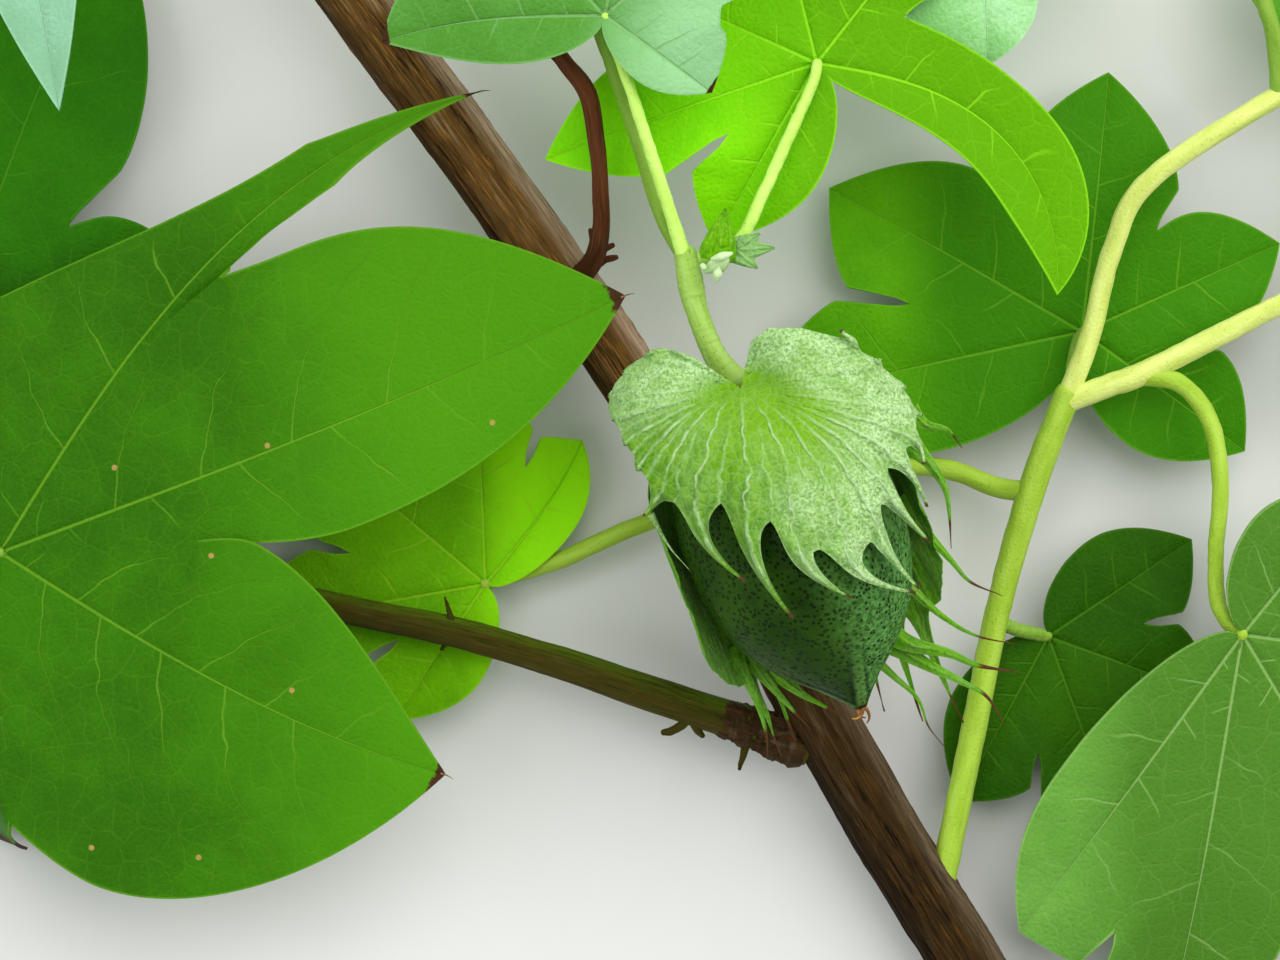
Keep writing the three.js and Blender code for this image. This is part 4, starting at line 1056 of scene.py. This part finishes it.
def make_leaf_pattern():
    """What all leaves share: masks of their midribs and side veins, the fine net between them, a dried
    tip, small brown specks, a pale rim, clouds of two sizes, and the height of it all. Side veins follow
    the sum that the blade's quilting has, and stray from it a little."""
    tree = bpy.data.node_groups.new("leaf pattern", "ShaderNodeTree")
    for label in ("Veins", "Specks", "Dry from"):
        tree.interface.new_socket(label, in_out="INPUT", socket_type="NodeSocketFloat")
    for label in ("Vein", "Net", "Dried", "Speck", "Rim", "Cloud", "Height"):
        tree.interface.new_socket(label, in_out="OUTPUT", socket_type="NodeSocketFloat")
    veins, specks, dry_from = (Value(socket) for socket in tree.nodes.new("NodeGroupInput").outputs[:3])
    run, aside, _ = from_map(tree, "lobe")
    length, rim, _ = from_map(tree, "span")
    plan = from_map(tree, "plan")[2]
    share = run / length
    off = abs(aside)
    rib_width = ramp(share, 0, 1, 0.36, 0.1)
    rib = ramp(off / rib_width, 0.35, 1, 1, 0)

    curved = off**3 / VEIN_CURVE
    bent = off * VEIN_SLANT + curved
    wobble = soft_noise(plan, 0.2, 1)
    stray = (wobble - 0.5) * 3 * ramp(off, 0, 6)
    origin = run - bent + stray
    origin_share = (origin / length).max(0)
    steps = origin_share**VEIN_CROWDING * veins
    side = (aside > 0) * VEIN_STAGGER
    steps = steps + side
    spacing = length / veins
    away = away_from_whole(steps) * spacing * 0.9
    thin = ramp(off, 0, 16, 0.2, 0.09)
    side_vein = ramp(away / thin, 0.3, 1.2, 1, 0) * ramp(origin_share, 0.015, 0.03)
    faded = ramp(soft_noise(plan, 0.08, 1), 0.3, 0.6, 0.25, 0.8)
    side_vein = side_vein * faded * ramp(rim, 1, 5) * ramp(share, 0.6, 0.95, 1, 0.3)
    vein = rib.max(side_vein)

    bending = texture("Noise", plan, 1, scale=0.35, detail=1)
    node = node_beside("VectorMath", plan, operation="MULTIPLY_ADD")
    for socket, value in zip(node.inputs, (bending, (1.6, 1.6, 1.6), plan)):
        join(socket, value)
    shifted = Value(node.outputs[0])
    mesh = texture("Voronoi", shifted, 0, FLAT | WALLS, scale=0.24)
    fine = texture("Voronoi", shifted, 0, FLAT | WALLS, scale=0.95)
    net = ramp(mesh, 0, 0.035, 0.8, 0).max(ramp(fine, 0, 0.09, 0.35, 0))

    ragged = (soft_noise(plan, 1.1) - 0.5) * 0.03
    past = share + ragged - dry_from
    dried = ramp(past, -0.004, 0.004)
    speck_at = texture("Voronoi", plan, 0, FLAT, scale=0.055, randomness=1)
    speck_kind = texture("Voronoi", plan, 1, FLAT, scale=0.055, randomness=1)
    speck = ramp(speck_at, 0.014, 0.026, 1, 0) * (speck_kind > 0.62) * specks

    cloud = soft_noise(plan, 0.045, 4, 0.62)
    puff = ramp(fine, 0, 0.4)
    height = puff * 0.3 - vein * 0.8 + ramp(mesh, 0, 0.25) * 0.2
    grain = soft_noise(plan, 2.6, 3, 0.7)
    height = height + grain * 0.9
    pale_rim = ramp(rim, 0.12, 0.4, 1, 0)
    put = tree.nodes.new("NodeGroupOutput")
    for socket, value in zip(put.inputs, (vein, net, dried, speck, pale_rim, cloud, height)):
        join(socket, value)


def leaf_material(name, dark, light, rib, other=None, dry_from=2, specks=0, veins=5):
    """A leaf's green: clouds of a dark and a light green, paler ribs and net, and a light rim. other is a
    second green, and the places across the leaf, in millimetres right of its base, where it begins and is
    full. Lobes are dry and brown from a share of their length on, and specks is the strength of small
    brown specks."""
    new, tree, shader = material(name, Specular_IOR_Level=0.06)
    node = tree.nodes.new("ShaderNodeGroup")
    node.node_tree = bpy.data.node_groups["leaf pattern"]
    for socket, value in zip(node.inputs, (veins, specks, dry_from)):
        join(socket, value)
    vein, net, dried, speck, rim, cloud, height = (Value(socket) for socket in node.outputs)
    plan = from_map(tree, "plan")
    grain = soft_noise(plan[2], 1.9, 3, 0.65)
    clouds = cloud + (grain - 0.5) * 0.35
    colour = blend(ramp(clouds, 0.34, 0.68), dark, light)
    if other:
        shifted = plan[0] + cloud * 12
        colour = blend(ramp(shifted, other[1] + 6, other[2] + 6), colour, other[0])
    colour = blend(net * 0.16, colour, rib)
    colour = blend(vein * 0.6, colour, rib)
    colour = blend(rim * 0.45, colour, rib)
    colour = blend(speck, colour, (0.48, 0.31, 0.1))
    colour = blend(dried, colour, (0.06, 0.024, 0.01))
    return finished(new, shader, colour, height, 0.00014, ramp(cloud, 0.2, 0.8, 0.49, 0.65))


def bract_material(name, deep, pale, rib, fuzz, downy=0, brown_from=1.9, rib_strength=0.8):
    """A bract: pale ribs fan out from the attachment, green streaks between them, yellow near the
    attachment, downy all over, with brown tooth tips. The front bract's ears and right side carry more
    white down, partly real down and partly a painted highlight, and the yellow reaches farther on the right."""
    new, tree, shader = material(
        name, Sheen_Weight=0.1, Sheen_Roughness=0.35, Roughness=0.7, Specular_IOR_Level=0.08
    )
    vein, width, _ = from_map(tree, "fan")
    part, _, _ = from_map(tree, "reach")
    at = position(tree)
    stray = soft_noise(at, 260) - 0.5
    strayed = vein + stray * 0.6
    ribs = None
    for offset, start, strength in BRACT_VEINS:
        away = away_from_whole(strayed - offset)
        line = ramp(away * width, 0.06, 0.3, strength, 0) * ramp(part, start, start + 0.3)
        ribs = line if ribs is None else ribs.max(line)
    ribs = ribs * ramp(width, 0.3, 1.6)
    broken = soft_noise(at, 520, 1)
    ribs = ribs * ramp(broken, 0.36, 0.56, 0.35, 1)
    if downy:
        ribs = ribs * ramp(vein, 4.5, 7.5, 0.3, 1) * ramp(vein, 16.5, 19.5, 1, 0.3)
    cloud = soft_noise(at, 200, 3, 0.6)
    down = soft_noise(at, 2300, 4, 0.75)
    net = texture("Voronoi", at, 0, WALLS, scale=800)
    node = node_beside("CombineXYZ", vein)
    join(node.inputs[0], vein * 4)
    join(node.inputs[1], part * 5)
    streaks = soft_noise(Value(node.outputs[0]), 1, 3, 0.6)
    colour = blend(ramp(streaks, 0.34, 0.66), deep, pale)
    right = ramp(vein, 8.5, 12) * ramp(vein, 16, 19.5, 0.3, 0.1)
    reach = part - right
    if downy:
        near = ramp(reach + cloud * 0.4, 0.3, 0.85, 0.85, 0)
        colour = blend(near, colour, (0.21, 0.48, 0.01))
    colour = blend(ramp(net, 0, 0.12, 0.1, 0), colour, rib)
    # More white down on the ears and right side: partly real down, partly painted highlight
    down_and_highlight_zones = ramp(vein, 5, 8, 1, 0).max(ramp(vein, 11, 14))
    thick = down_and_highlight_zones * downy * ramp(cloud, 0.3, 0.6, 0.5, 1)
    thick = (thick + ramp(cloud, 0.4, 0.62) * fuzz) * ramp(reach, 0.12, 0.5)
    tufts = ramp(down, 0.4, 0.6, 0.25, 1) * thick
    colour = blend(tufts, colour, (0.62, 0.9, 0.46))
    colour = blend(ribs * rib_strength, colour, rib)
    colour = blend(ramp(part, brown_from, brown_from + 0.06), colour, (0.11, 0.045, 0.018))
    height = down + ribs * 0.6 + ramp(net, 0, 0.3, 0, 0.5)
    return finished(new, shader, colour, height, 0.0003)


def boll_material():
    """The boll: dark green, with a painted highlight of pale speckles on its lit side towards the beak,
    where it is also bumpier, close sunken dark glands that are painted fainter away from the lit side, a
    pale ridge between two dark lines along each suture near the beak, and a dark end."""
    new, tree, shader = material("boll skin", Coat_Weight=0.02, Coat_Roughness=0.35, Specular_IOR_Level=0.1)
    share, suture, _ = from_map(tree, "boll")
    _, lit, _ = from_map(tree, "side")
    at = position(tree)
    gland = texture("Voronoi", at, 0, {"feature": "F1"}, scale=1500, randomness=0.85)
    pit = ramp(gland, 0.22, 0.33, 1, 0)
    cloud = soft_noise(at, 140, 3)
    grain = soft_noise(at, 1500, 3)
    colour = blend(ramp(cloud, 0.35, 0.65), (0.012, 0.045, 0.001), (0.025, 0.08, 0.002))
    # Painted highlight: pale green speckles on the lit side towards the beak
    painted_highlight_green = blend(ramp(grain, 0.35, 0.65), (0.05, 0.165, 0.024), (0.135, 0.37, 0.085))
    highlight_and_bumps = lit * ramp(share, 0.3, 0.75)
    colour = blend(highlight_and_bumps, colour, painted_highlight_green)
    near_beak = ramp(share, 0.78, 0.95)
    ridge = ramp(suture, 0.3, 1, 0.6, 0) * near_beak
    colour = blend(ridge, colour, (0.11, 0.24, 0.05))
    # Painted shade: the glands are fainter away from the lit side
    pit = pit * ramp(suture, 0.6, 1.2, 0.4, 1) * ramp(highlight_and_bumps, 0, 1, 0.6, 0.9)
    colour = blend(pit, colour, (0.002, 0.006, 0.001))
    line = abs(suture - 1.2)
    line = ramp(line, 0.1, 0.5, 0.65, 0) * near_beak
    colour = blend(line, colour, (0.004, 0.012, 0.003))
    colour = blend(ramp(share, 0.985, 0.995), colour, (0.03, 0.02, 0.006))
    height = ramp(gland, 0.15, 0.42) + grain * (highlight_and_bumps * 2.2 + 0.3)
    return finished(new, shader, colour, height, 0.00034, ramp(cloud, 0.3, 0.7, 0.48, 0.6))


def bark_material(name, crack, brown, rust, shine, painted_shadow_run=(0, 1), dark=1, patch=None, painted_shade_to=0,
                  wood=(0.42, 0.30, 0.15)):
    """Stringy bark: dark cracks where the relief is low, brown strands, thin rust fibres, a painted
    highlight of grey shine on the highest strands, and pale wood on a cut end. A painted shadow darkens it
    before the given run along the limb. patch is a second colour for one side in patches, and the middle and
    width of that side
    round the limb, in millimetres: a painted highlight on the main stem, and green on the branch, partly its
    own colour and partly painted highlight. The painted shade of its dim side reaches as far round the limb
    as given."""
    new, tree, shader = material(name, Specular_IOR_Level=0.1)
    height, cut, _ = from_map(tree, "ridge")
    turn, run, wrap = from_map(tree, "wrap")
    strands = soft_noise(stretched(wrap, (2.2, 0.12, 1)), 1, 5, 0.75)
    fibres = soft_noise(stretched(wrap, (3.8, 0.16, 1)), 1, 3, 0.65)
    patches = soft_noise(stretched(wrap, (0.35, 0.07, 1)), 1)
    level = height * 0.8 + strands * 1.1
    colour = blend(ramp(level, 0.26, 0.56), crack, brown)
    colour = blend(ramp(fibres, 0.52, 0.66) * 0.75, colour, rust)
    # Painted highlight: grey shine on the highest strands
    grey = ramp(level, 0.55, 0.85) * ramp(patches, 0.42, 0.6)
    colour = blend(grey, colour, shine)
    # A second colour on one side: a painted highlight on the main stem, and on the branch green, partly its
    # own colour and partly painted highlight
    if patch:
        side = abs(turn - patch[1]) + patches * 2
        side = ramp(side, 1, 1 + patch[2], 1, 0)
        side = side * ramp(strands, 0.36, 0.6, 0.3, 0.9)
        colour = blend(side, colour, patch[0])
    # Painted shade on the limb's dim side
    if painted_shade_to:
        dim = ramp(turn, 0.3 * painted_shade_to, painted_shade_to)
        colour = blend(dim, blend(1, colour, (0.35, 0.35, 0.35), "MULTIPLY"), colour)
    # Painted shadow over the limb before the given run
    shade = blend(ramp(run, *painted_shadow_run), (dark, dark, dark * 0.8), (1, 1, 1))
    colour = blend(1, colour, shade, "MULTIPLY")
    grain = soft_noise(position(tree), 900, 3)
    sawn = blend(ramp(grain, 0.3, 0.7), wood, tuple(0.6 * part for part in wood))
    colour = blend(ramp(cut, 0.4, 0.6), colour, sawn)
    height = strands + fibres * 0.5 + grain * 0.15
    return finished(new, shader, colour, height, 0.0005, ramp(level, 0.3, 0.9, 0.8, 0.55))


def shoot_material(name, light, dark, dots):
    """A green limb: long streaks of two greens, a few small dark gland dots, and fine down in the bump."""
    new, tree, shader = material(
        name, Sheen_Weight=0.08, Sheen_Roughness=0.4, Roughness=0.5, Specular_IOR_Level=0.15
    )
    wrap = from_map(tree, "wrap")[2]
    streaks = soft_noise(stretched(wrap, (0.7, 0.1, 1)), 1, 4)
    spots = texture("Voronoi", wrap, 0, FLAT, scale=0.8)
    chosen = texture("Voronoi", wrap, 1, FLAT, scale=0.8) > 0.5
    down = soft_noise(position(tree), 2400)
    colour = blend(ramp(streaks, 0.32, 0.68), light, dark)
    spots = ramp(spots, 0.05, 0.11, dots, 0) * chosen
    colour = blend(spots, colour, (0.06, 0.06, 0.01))
    return finished(new, shader, colour, down + streaks * 1.5, 0.00012)


def dried_material(name, light, dark):
    """Dried threads, scales and styles: clouds of two browns."""
    new, tree, shader = material(name, Roughness=0.7, Specular_IOR_Level=0.2)
    cloud = soft_noise(position(tree), 320)
    return finished(new, shader, blend(ramp(cloud, 0.35, 0.65), light, dark), cloud, 0.0001)


# The plant

make_leaf_pattern()
# The main stem's bark: a painted shadow over its lower part below the boll, a painted highlight on its lit
# right side, and painted shade on its left side
bark = bark_material("bark", (0.014, 0.007, 0.002), (0.16, 0.080, 0.020), (0.46, 0.20, 0.035),
                     (0.38, 0.26, 0.14), (50, 110), 0.26, ((0.70, 0.49, 0.37), 12.2, 3.6), 6)
# The branch's green upper side is partly its own colour and partly painted highlight
branch_bark = bark_material("branch bark", (0.018, 0.020, 0.001), (0.060, 0.056, 0.004),
                            (0.13, 0.055, 0.008), (0.13, 0.11, 0.03), (0, 1), 1,
                            ((0.11, 0.20, 0.003), 5.6, 2.6))
twig_bark = bark_material("twig bark", (0.030, 0.013, 0.006), (0.12, 0.036, 0.012), (0.20, 0.065, 0.018),
                          (0.26, 0.15, 0.10))
collar_bark = bark_material("collar bark", (0.010, 0.007, 0.003), (0.045, 0.026, 0.008),
                            (0.14, 0.035, 0.012), (0.12, 0.08, 0.04))
pale_shoot = shoot_material("pale shoot", (0.38, 0.60, 0.13), (0.27, 0.48, 0.06), 0.5)
# Painted light: a brighter copy of the shoot greens for the petioles of leaves c and d, lifting them out of
# the shade of leaf c
painted_lit_shoot = shoot_material("painted lit shoot", (0.62, 0.94, 0.20), (0.52, 0.86, 0.12), 0.3)
green_shoot = shoot_material("green shoot", (0.42, 0.64, 0.07), (0.32, 0.52, 0.03), 0.3)
outer_green = shoot_material("outer shoot", (0.78, 0.88, 0.26), (0.60, 0.72, 0.14), 0.3)
back_shoot = shoot_material("back shoot", (0.26, 0.46, 0.06), (0.19, 0.36, 0.03), 0.3)
dried_point = dried_material("dried point", (0.34, 0.20, 0.09), (0.16, 0.08, 0.03))
dried_style = dried_material("dried style", (0.50, 0.24, 0.05), (0.16, 0.06, 0.015))

# A leaf's dark green, light green and ribs, its number of side veins, and a second green with its place
# across. After these may come the share of the lobes from which they are dry, and the strength of brown
# specks.
LEAF_LOOKS = {
    "leaf_a": ((0.024, 0.126, 0.001), (0.040, 0.185, 0.002), (0.16, 0.38, 0.02),
               ((0.070, 0.280, 0.003), 20, 62), 0.978, 0.85, 7),
    "leaf_b": ((0.020, 0.135, 0.001), (0.030, 0.19, 0.001), (0.07, 0.26, 0.01)),
    "leaf_b2": ((0.21, 0.45, 0.27), (0.29, 0.57, 0.39), (0.35, 0.62, 0.42)),
    # Leaf c's pale blue-green second green is a painted reflection of the sky on its upper side
    "leaf_c": ((0.07, 0.26, 0.022), (0.11, 0.34, 0.052), (0.24, 0.49, 0.17),
               ((0.31, 0.62, 0.30), -4, 11), 0.965),
    # Leaf d's bright greens are painted light: the glow of a leaf lit from behind, raised further where leaf
    # c shades it
    "leaf_d": ((0.18, 0.68, 0.001), (0.26, 0.82, 0.002), (0.34, 0.84, 0.02),
               ((0.115, 0.38, 0.001), -16, 4)),
    "leaf_e": ((0.12, 0.34, 0.040), (0.18, 0.44, 0.070), (0.32, 0.54, 0.16),
               ((0.078, 0.23, 0.020), -24, -12)),
    # Leaf f's bright greens are painted light: the glow of a leaf lit from behind, raised against the shade
    # of leaf a
    "leaf_f": ((0.12, 0.40, 0.001), (0.18, 0.55, 0.002), (0.34, 0.68, 0.02),
               ((0.30, 0.86, 0.003), -6, 6)),
    "leaf_g": ((0.075, 0.31, 0.002), (0.12, 0.42, 0.003), (0.16, 0.42, 0.02),
               ((0.046, 0.23, 0.002), -28, -16)),
    "leaf_i": ((0.23, 0.56, 0.17), (0.48, 0.84, 0.46), (0.50, 0.82, 0.44)),
    "leaf_j": ((0.018, 0.090, 0.001), (0.031, 0.13, 0.001), (0.07, 0.21, 0.01)),
    "leaf_k": ((0.05, 0.22, 0.01), (0.08, 0.29, 0.015), (0.18, 0.40, 0.05)),
    "leaf_l": ((0.06, 0.26, 0.012), (0.10, 0.34, 0.02), (0.2, 0.44, 0.06)),
}
for name, look in LEAF_LOOKS.items():
    shell = leaf(name, rows=100, half_columns=28, fold=0.7) if name == "leaf_a" else leaf(name)
    piece(f"{name}_blade", shell, leaf_material(name.replace("_", " "), *look), [name])
    if name == "leaf_a":
        piece("leaf_points", joined(*leaf_points(name, shell)), dried_point)

piece("boll_skin", boll(), boll_material(), ["boll"])
styles = [
    thread(BOLL_TIP + np.array(start), heading, length, curl, 0.3)
    for start, heading, length, curl in (
        ((0, 0.4, 0.2), (0.2, -1, 0.5), 3.2, 2.2), ((-0.2, 0.3, 0.1), (-0.5, -1, 0.3), 2.4, -2.4),
        ((0.2, 0.3, 0.1), (0.8, -0.8, 0.4), 3, 1.6),
    )
]
piece("boll_styles", joined(*styles), dried_style)
front_green = bract_material("front bract", (0.10, 0.29, 0.008), (0.19, 0.43, 0.022), (0.66, 0.92, 0.52),
                             0.12, 0.85, 1.9, 0.5)
back_green = bract_material("back bract", (0.080, 0.31, 0.005), (0.16, 0.46, 0.012), (0.34, 0.60, 0.09),
                            0.1, 0, 1.72, 0.5)
front_flat = [tuple(BRACT_UNIT * part for part in notch) for notch in BRACT_NOTCHES]
front_teeth = {index: tuple(BRACT_UNIT * part for part in tip) for index, tip in BRACT_TEETH.items()}
front_sheet = bract(front_flat, front_teeth, front_place, True, 0.3, FRONT_STREAMERS)
left_sheet = bract(
    LEFT_NOTCHES, LEFT_TEETH, back_place(-129, (0.8, -1, -1), 31), False, 0, LEFT_STREAMERS
)
right_sheet = bract(RIGHT_NOTCHES, RIGHT_TEETH, back_place(129, (2, 2, 1), 32), True, 0, RIGHT_STREAMERS)
piece("bract_front_sheet", front_sheet, front_green, ["bract_front"])
piece("bract_left_sheet", left_sheet, back_green, ["bract_left"])
piece("bract_right_sheet", right_sheet, back_green, ["bract_right"])

# The young bud in its two bracts
bud_green = bract_material("bud bract", (0.11, 0.38, 0.001), (0.19, 0.54, 0.003), (0.28, 0.60, 0.04), 0)
bud_pale = bract_material("pale bud bract", (0.25, 0.50, 0.13), (0.32, 0.59, 0.20), (0.44, 0.70, 0.32), 0,
                          rib_strength=0.2)
bud_white = shoot_material("bud", (0.62, 0.80, 0.46), (0.46, 0.68, 0.28), 0)
left_bract = small_bract((9.9, 28.4, 37.6), [(11, 35, 38.4)], 3, 0.5)
right_bract = small_bract(
    (12.4, 29.8, 36.6), [(17.4, 30, 37.4), (15.2, 27.4, 36.8), (15.5, 31.9, 37)], 1.9, 0.3
)
buds = [
    limb(with_radii(line, radii), 20, 24, ends=("round", "round"))
    for line, radii in (
        ([(9.3, 28.5, 38.9), (10.6, 28.8, 39.2), (11.8, 29.2, 39)], [0.25, 0.55, 0.6, 0.55, 0.25]),
        ([(10.1, 27.4, 38.2), (10, 26.6, 38.4), (9.9, 25.8, 38.2)], [0.3, 0.6, 0.65, 0.6, 0.3]),
        ([(8.1, 27.7, 37.6), (8.3, 27.4, 37.8)], [0.4, 0.45, 0.4]),
        ([(8.6, 27.2, 36.4), (10.2, 28, 37), (11.4, 28.8, 37)], [0.5, 1.2, 0.5]),
    )
]
piece("bud_bract_left_sheet", left_bract, bud_green, ["bud_bract_left"])
piece("bud_bract_right_sheet", right_bract, bud_pale, ["bud_bract_right"])
piece("bud_skin", joined(*buds), bud_white, ["bud"])

# Woody limbs, each with its stubs, knobs and scales: points and radii
STUBS = [
    ([(-25.4, -20.8, 11.6), (-26, -18.2, 12), (-26.6, -16, 12.4)], [0.9, 0.5, 0.3, 0.15]),
    ([(-25.4, -20.8, 11), (-26.4, -22.2, 10.9), (-27.2, -23.2, 10.8)], [0.8, 0.5, 0.35, 0.2]),
    ([(6.6, -30.9, 10.8), (6, -33.2, 10.6), (4.2, -34.4, 10.4), (3.2, -34.6, 10.2)], [1, 0.75, 0.55, 0.45]),
    ([(7, -31.4, 10.8), (7.6, -33.8, 10.6), (8.6, -35, 10.4)], [0.9, 0.6, 0.4]),
    ([(15, -33.8, 10.4), (14.4, -36.6, 10.2), (13.6, -39.6, 10)], [1, 0.7, 0.5, 0.25]),
]
COLLAR = (
    [(21.4, -35.8, 10), (17.6, -34.6, 10.2), (14.6, -33.6, 10.4), (11.6, -32.7, 10.5)],
    [3.4, 3.1, 2.8, 2.5],
)
TWIG_SCALES = [
    ([(-7, 50.2, 32.6), (-6, 50.8, 33)], [1, 0.7, 0.4]),
    ([(-6.8, 29.4, 20.6), (-5.2, 30.6, 22), (-3.6, 31.4, 22.4)], [1, 0.7, 0.5, 0.3]),
    ([(-6.8, 28.6, 19.6), (-5, 29.4, 21), (-3.2, 29.8, 21.2)], [1, 0.7, 0.55, 0.4]),
    ([(-6, 32, 24), (-6.6, 33.2, 25)], [0.7, 0.5, 0.3]),
]


def bits(parts, seed):
    """Small woody bits, each a rough tapering limb."""
    return [limb(with_radii(*part), 14, 20, bark_relief(seed + k, 0.12, 5, 3), ("round", "round"))
            for k, part in enumerate(parts)]


stem = limb(with_radii(*LIMBS["main_stem"]), 120, 640, bark_relief(1, 0.28))
piece("main_stem_bark", stem, bark, ["main_stem"])
branch = limb(with_radii(*LIMBS["side_branch"]), 64, 420, bark_relief(2, 0.10, 12, 16))
piece("side_branch_bark", joined(branch, *bits(STUBS, 50)), branch_bark, ["side_branch"])
collar = limb(with_radii(*COLLAR), 64, 80, bark_relief(6, 0.45, 12, 7), ("round", "round"))
piece("branch_collar", collar, collar_bark)
twig = limb(with_radii(*LIMBS["twig"]), 40, 240, bark_relief(3, 0.08, 10, 9))
piece("twig_bark", joined(twig, *bits(TWIG_SCALES, 60)), twig_bark, ["twig"])
# The shoots that do not have the look of the back ones
SHOOT_LOOKS = {
    "peduncle": pale_shoot, "petiole_c": painted_lit_shoot, "petiole_d": painted_lit_shoot, "petiole_e": green_shoot,
    "petiole_f": green_shoot, "right_shoot": green_shoot, "outer_shoot": outer_green,
    "upper_shoot": outer_green,
}
for seed, name in enumerate(LIMBS):
    if name in ("main_stem", "side_branch", "twig"):
        continue
    line = with_radii(*LIMBS[name])
    # A shoot that carries a leaf runs on to the leaf's base
    carried = {"outer_shoot": "leaf_k", "upper_shoot": "leaf_l"}.get(name, name.replace("petiole", "leaf"))
    if carried in LEAVES:
        x, y, z = LEAVES[carried][0]
        line = np.concatenate([line, [[x, y, z - LEAF_THICKNESS, line[-1, 3] * 0.8]]])
    shell = limb(line, 32, 200, shoot_relief(seed, 0.12), ends=("round", "round"))
    piece(f"{name}_skin", shell, SHOOT_LOOKS.get(name, back_shoot), [name])

# Floor, camera and light


def frame_point(x, y, z):
    """A point of the drawing in the frame, in metres."""
    return tuple((np.array([x, y, z]) + SHIFT) / 1000)


def soft_light(name, position, target, size, power, colour=(1, 1, 1)):
    """A square lamp that faces a point."""
    lamp = bpy.data.lights.new(name, "AREA")
    lamp.size = size
    lamp.energy = power
    lamp.color = colour
    thing = bpy.data.objects.new(name, lamp)
    thing.location = position
    aim = mathutils.Vector(target) - mathutils.Vector(position)
    thing.rotation_euler = aim.to_track_quat("-Z", "Y").to_euler()
    bpy.context.scene.collection.objects.link(thing)


def floor():
    """A pale level sheet under the plant."""
    half = 3.0
    mesh = bpy.data.meshes.new("floor")
    corners = [(-half, -half, 0), (half, -half, 0), (half, half, 0), (-half, half, 0)]
    mesh.from_pydata(corners, [], [(0, 1, 2, 3)])
    thing = bpy.data.objects.new("floor", mesh)
    bpy.context.scene.collection.objects.link(thing)
    pale, tree, shader = material("floor paper", Roughness=0.9)
    grain = soft_noise(position(tree), 60, 3)
    join(shader.inputs["Base Color"], blend(grain, (0.77, 0.77, 0.78), (0.82, 0.82, 0.83)))
    thing.data.materials.append(pale)


floor()
middle = frame_point(0, 0, 20)
soft_light("key", (0.35, 0.45, 0.75), middle, 1.2, 11.0, (1.0, 0.98, 0.94))
soft_light("fill", (-0.6, -0.1, 0.6), middle, 0.8, 2.8, (0.96, 1.0, 0.95))
world = bpy.data.worlds.new("studio")
world.use_nodes = True
world.node_tree.nodes["Background"].inputs[0].default_value = (0.96, 1.0, 0.92, 1)
world.node_tree.nodes["Background"].inputs[1].default_value = 0.42
bpy.context.scene.world = world
camera = bpy.data.cameras.new("camera")
camera.lens = CAMERA_LENS
camera.sensor_width = 36
camera.sensor_fit = "HORIZONTAL"
camera_thing = bpy.data.objects.new("camera", camera)
camera_thing.location = frame_point(0, 0, CAMERA_HEIGHT)
bpy.context.scene.collection.objects.link(camera_thing)
bpy.context.scene.camera = camera_thing
bpy.context.scene.view_settings.view_transform = "Standard"
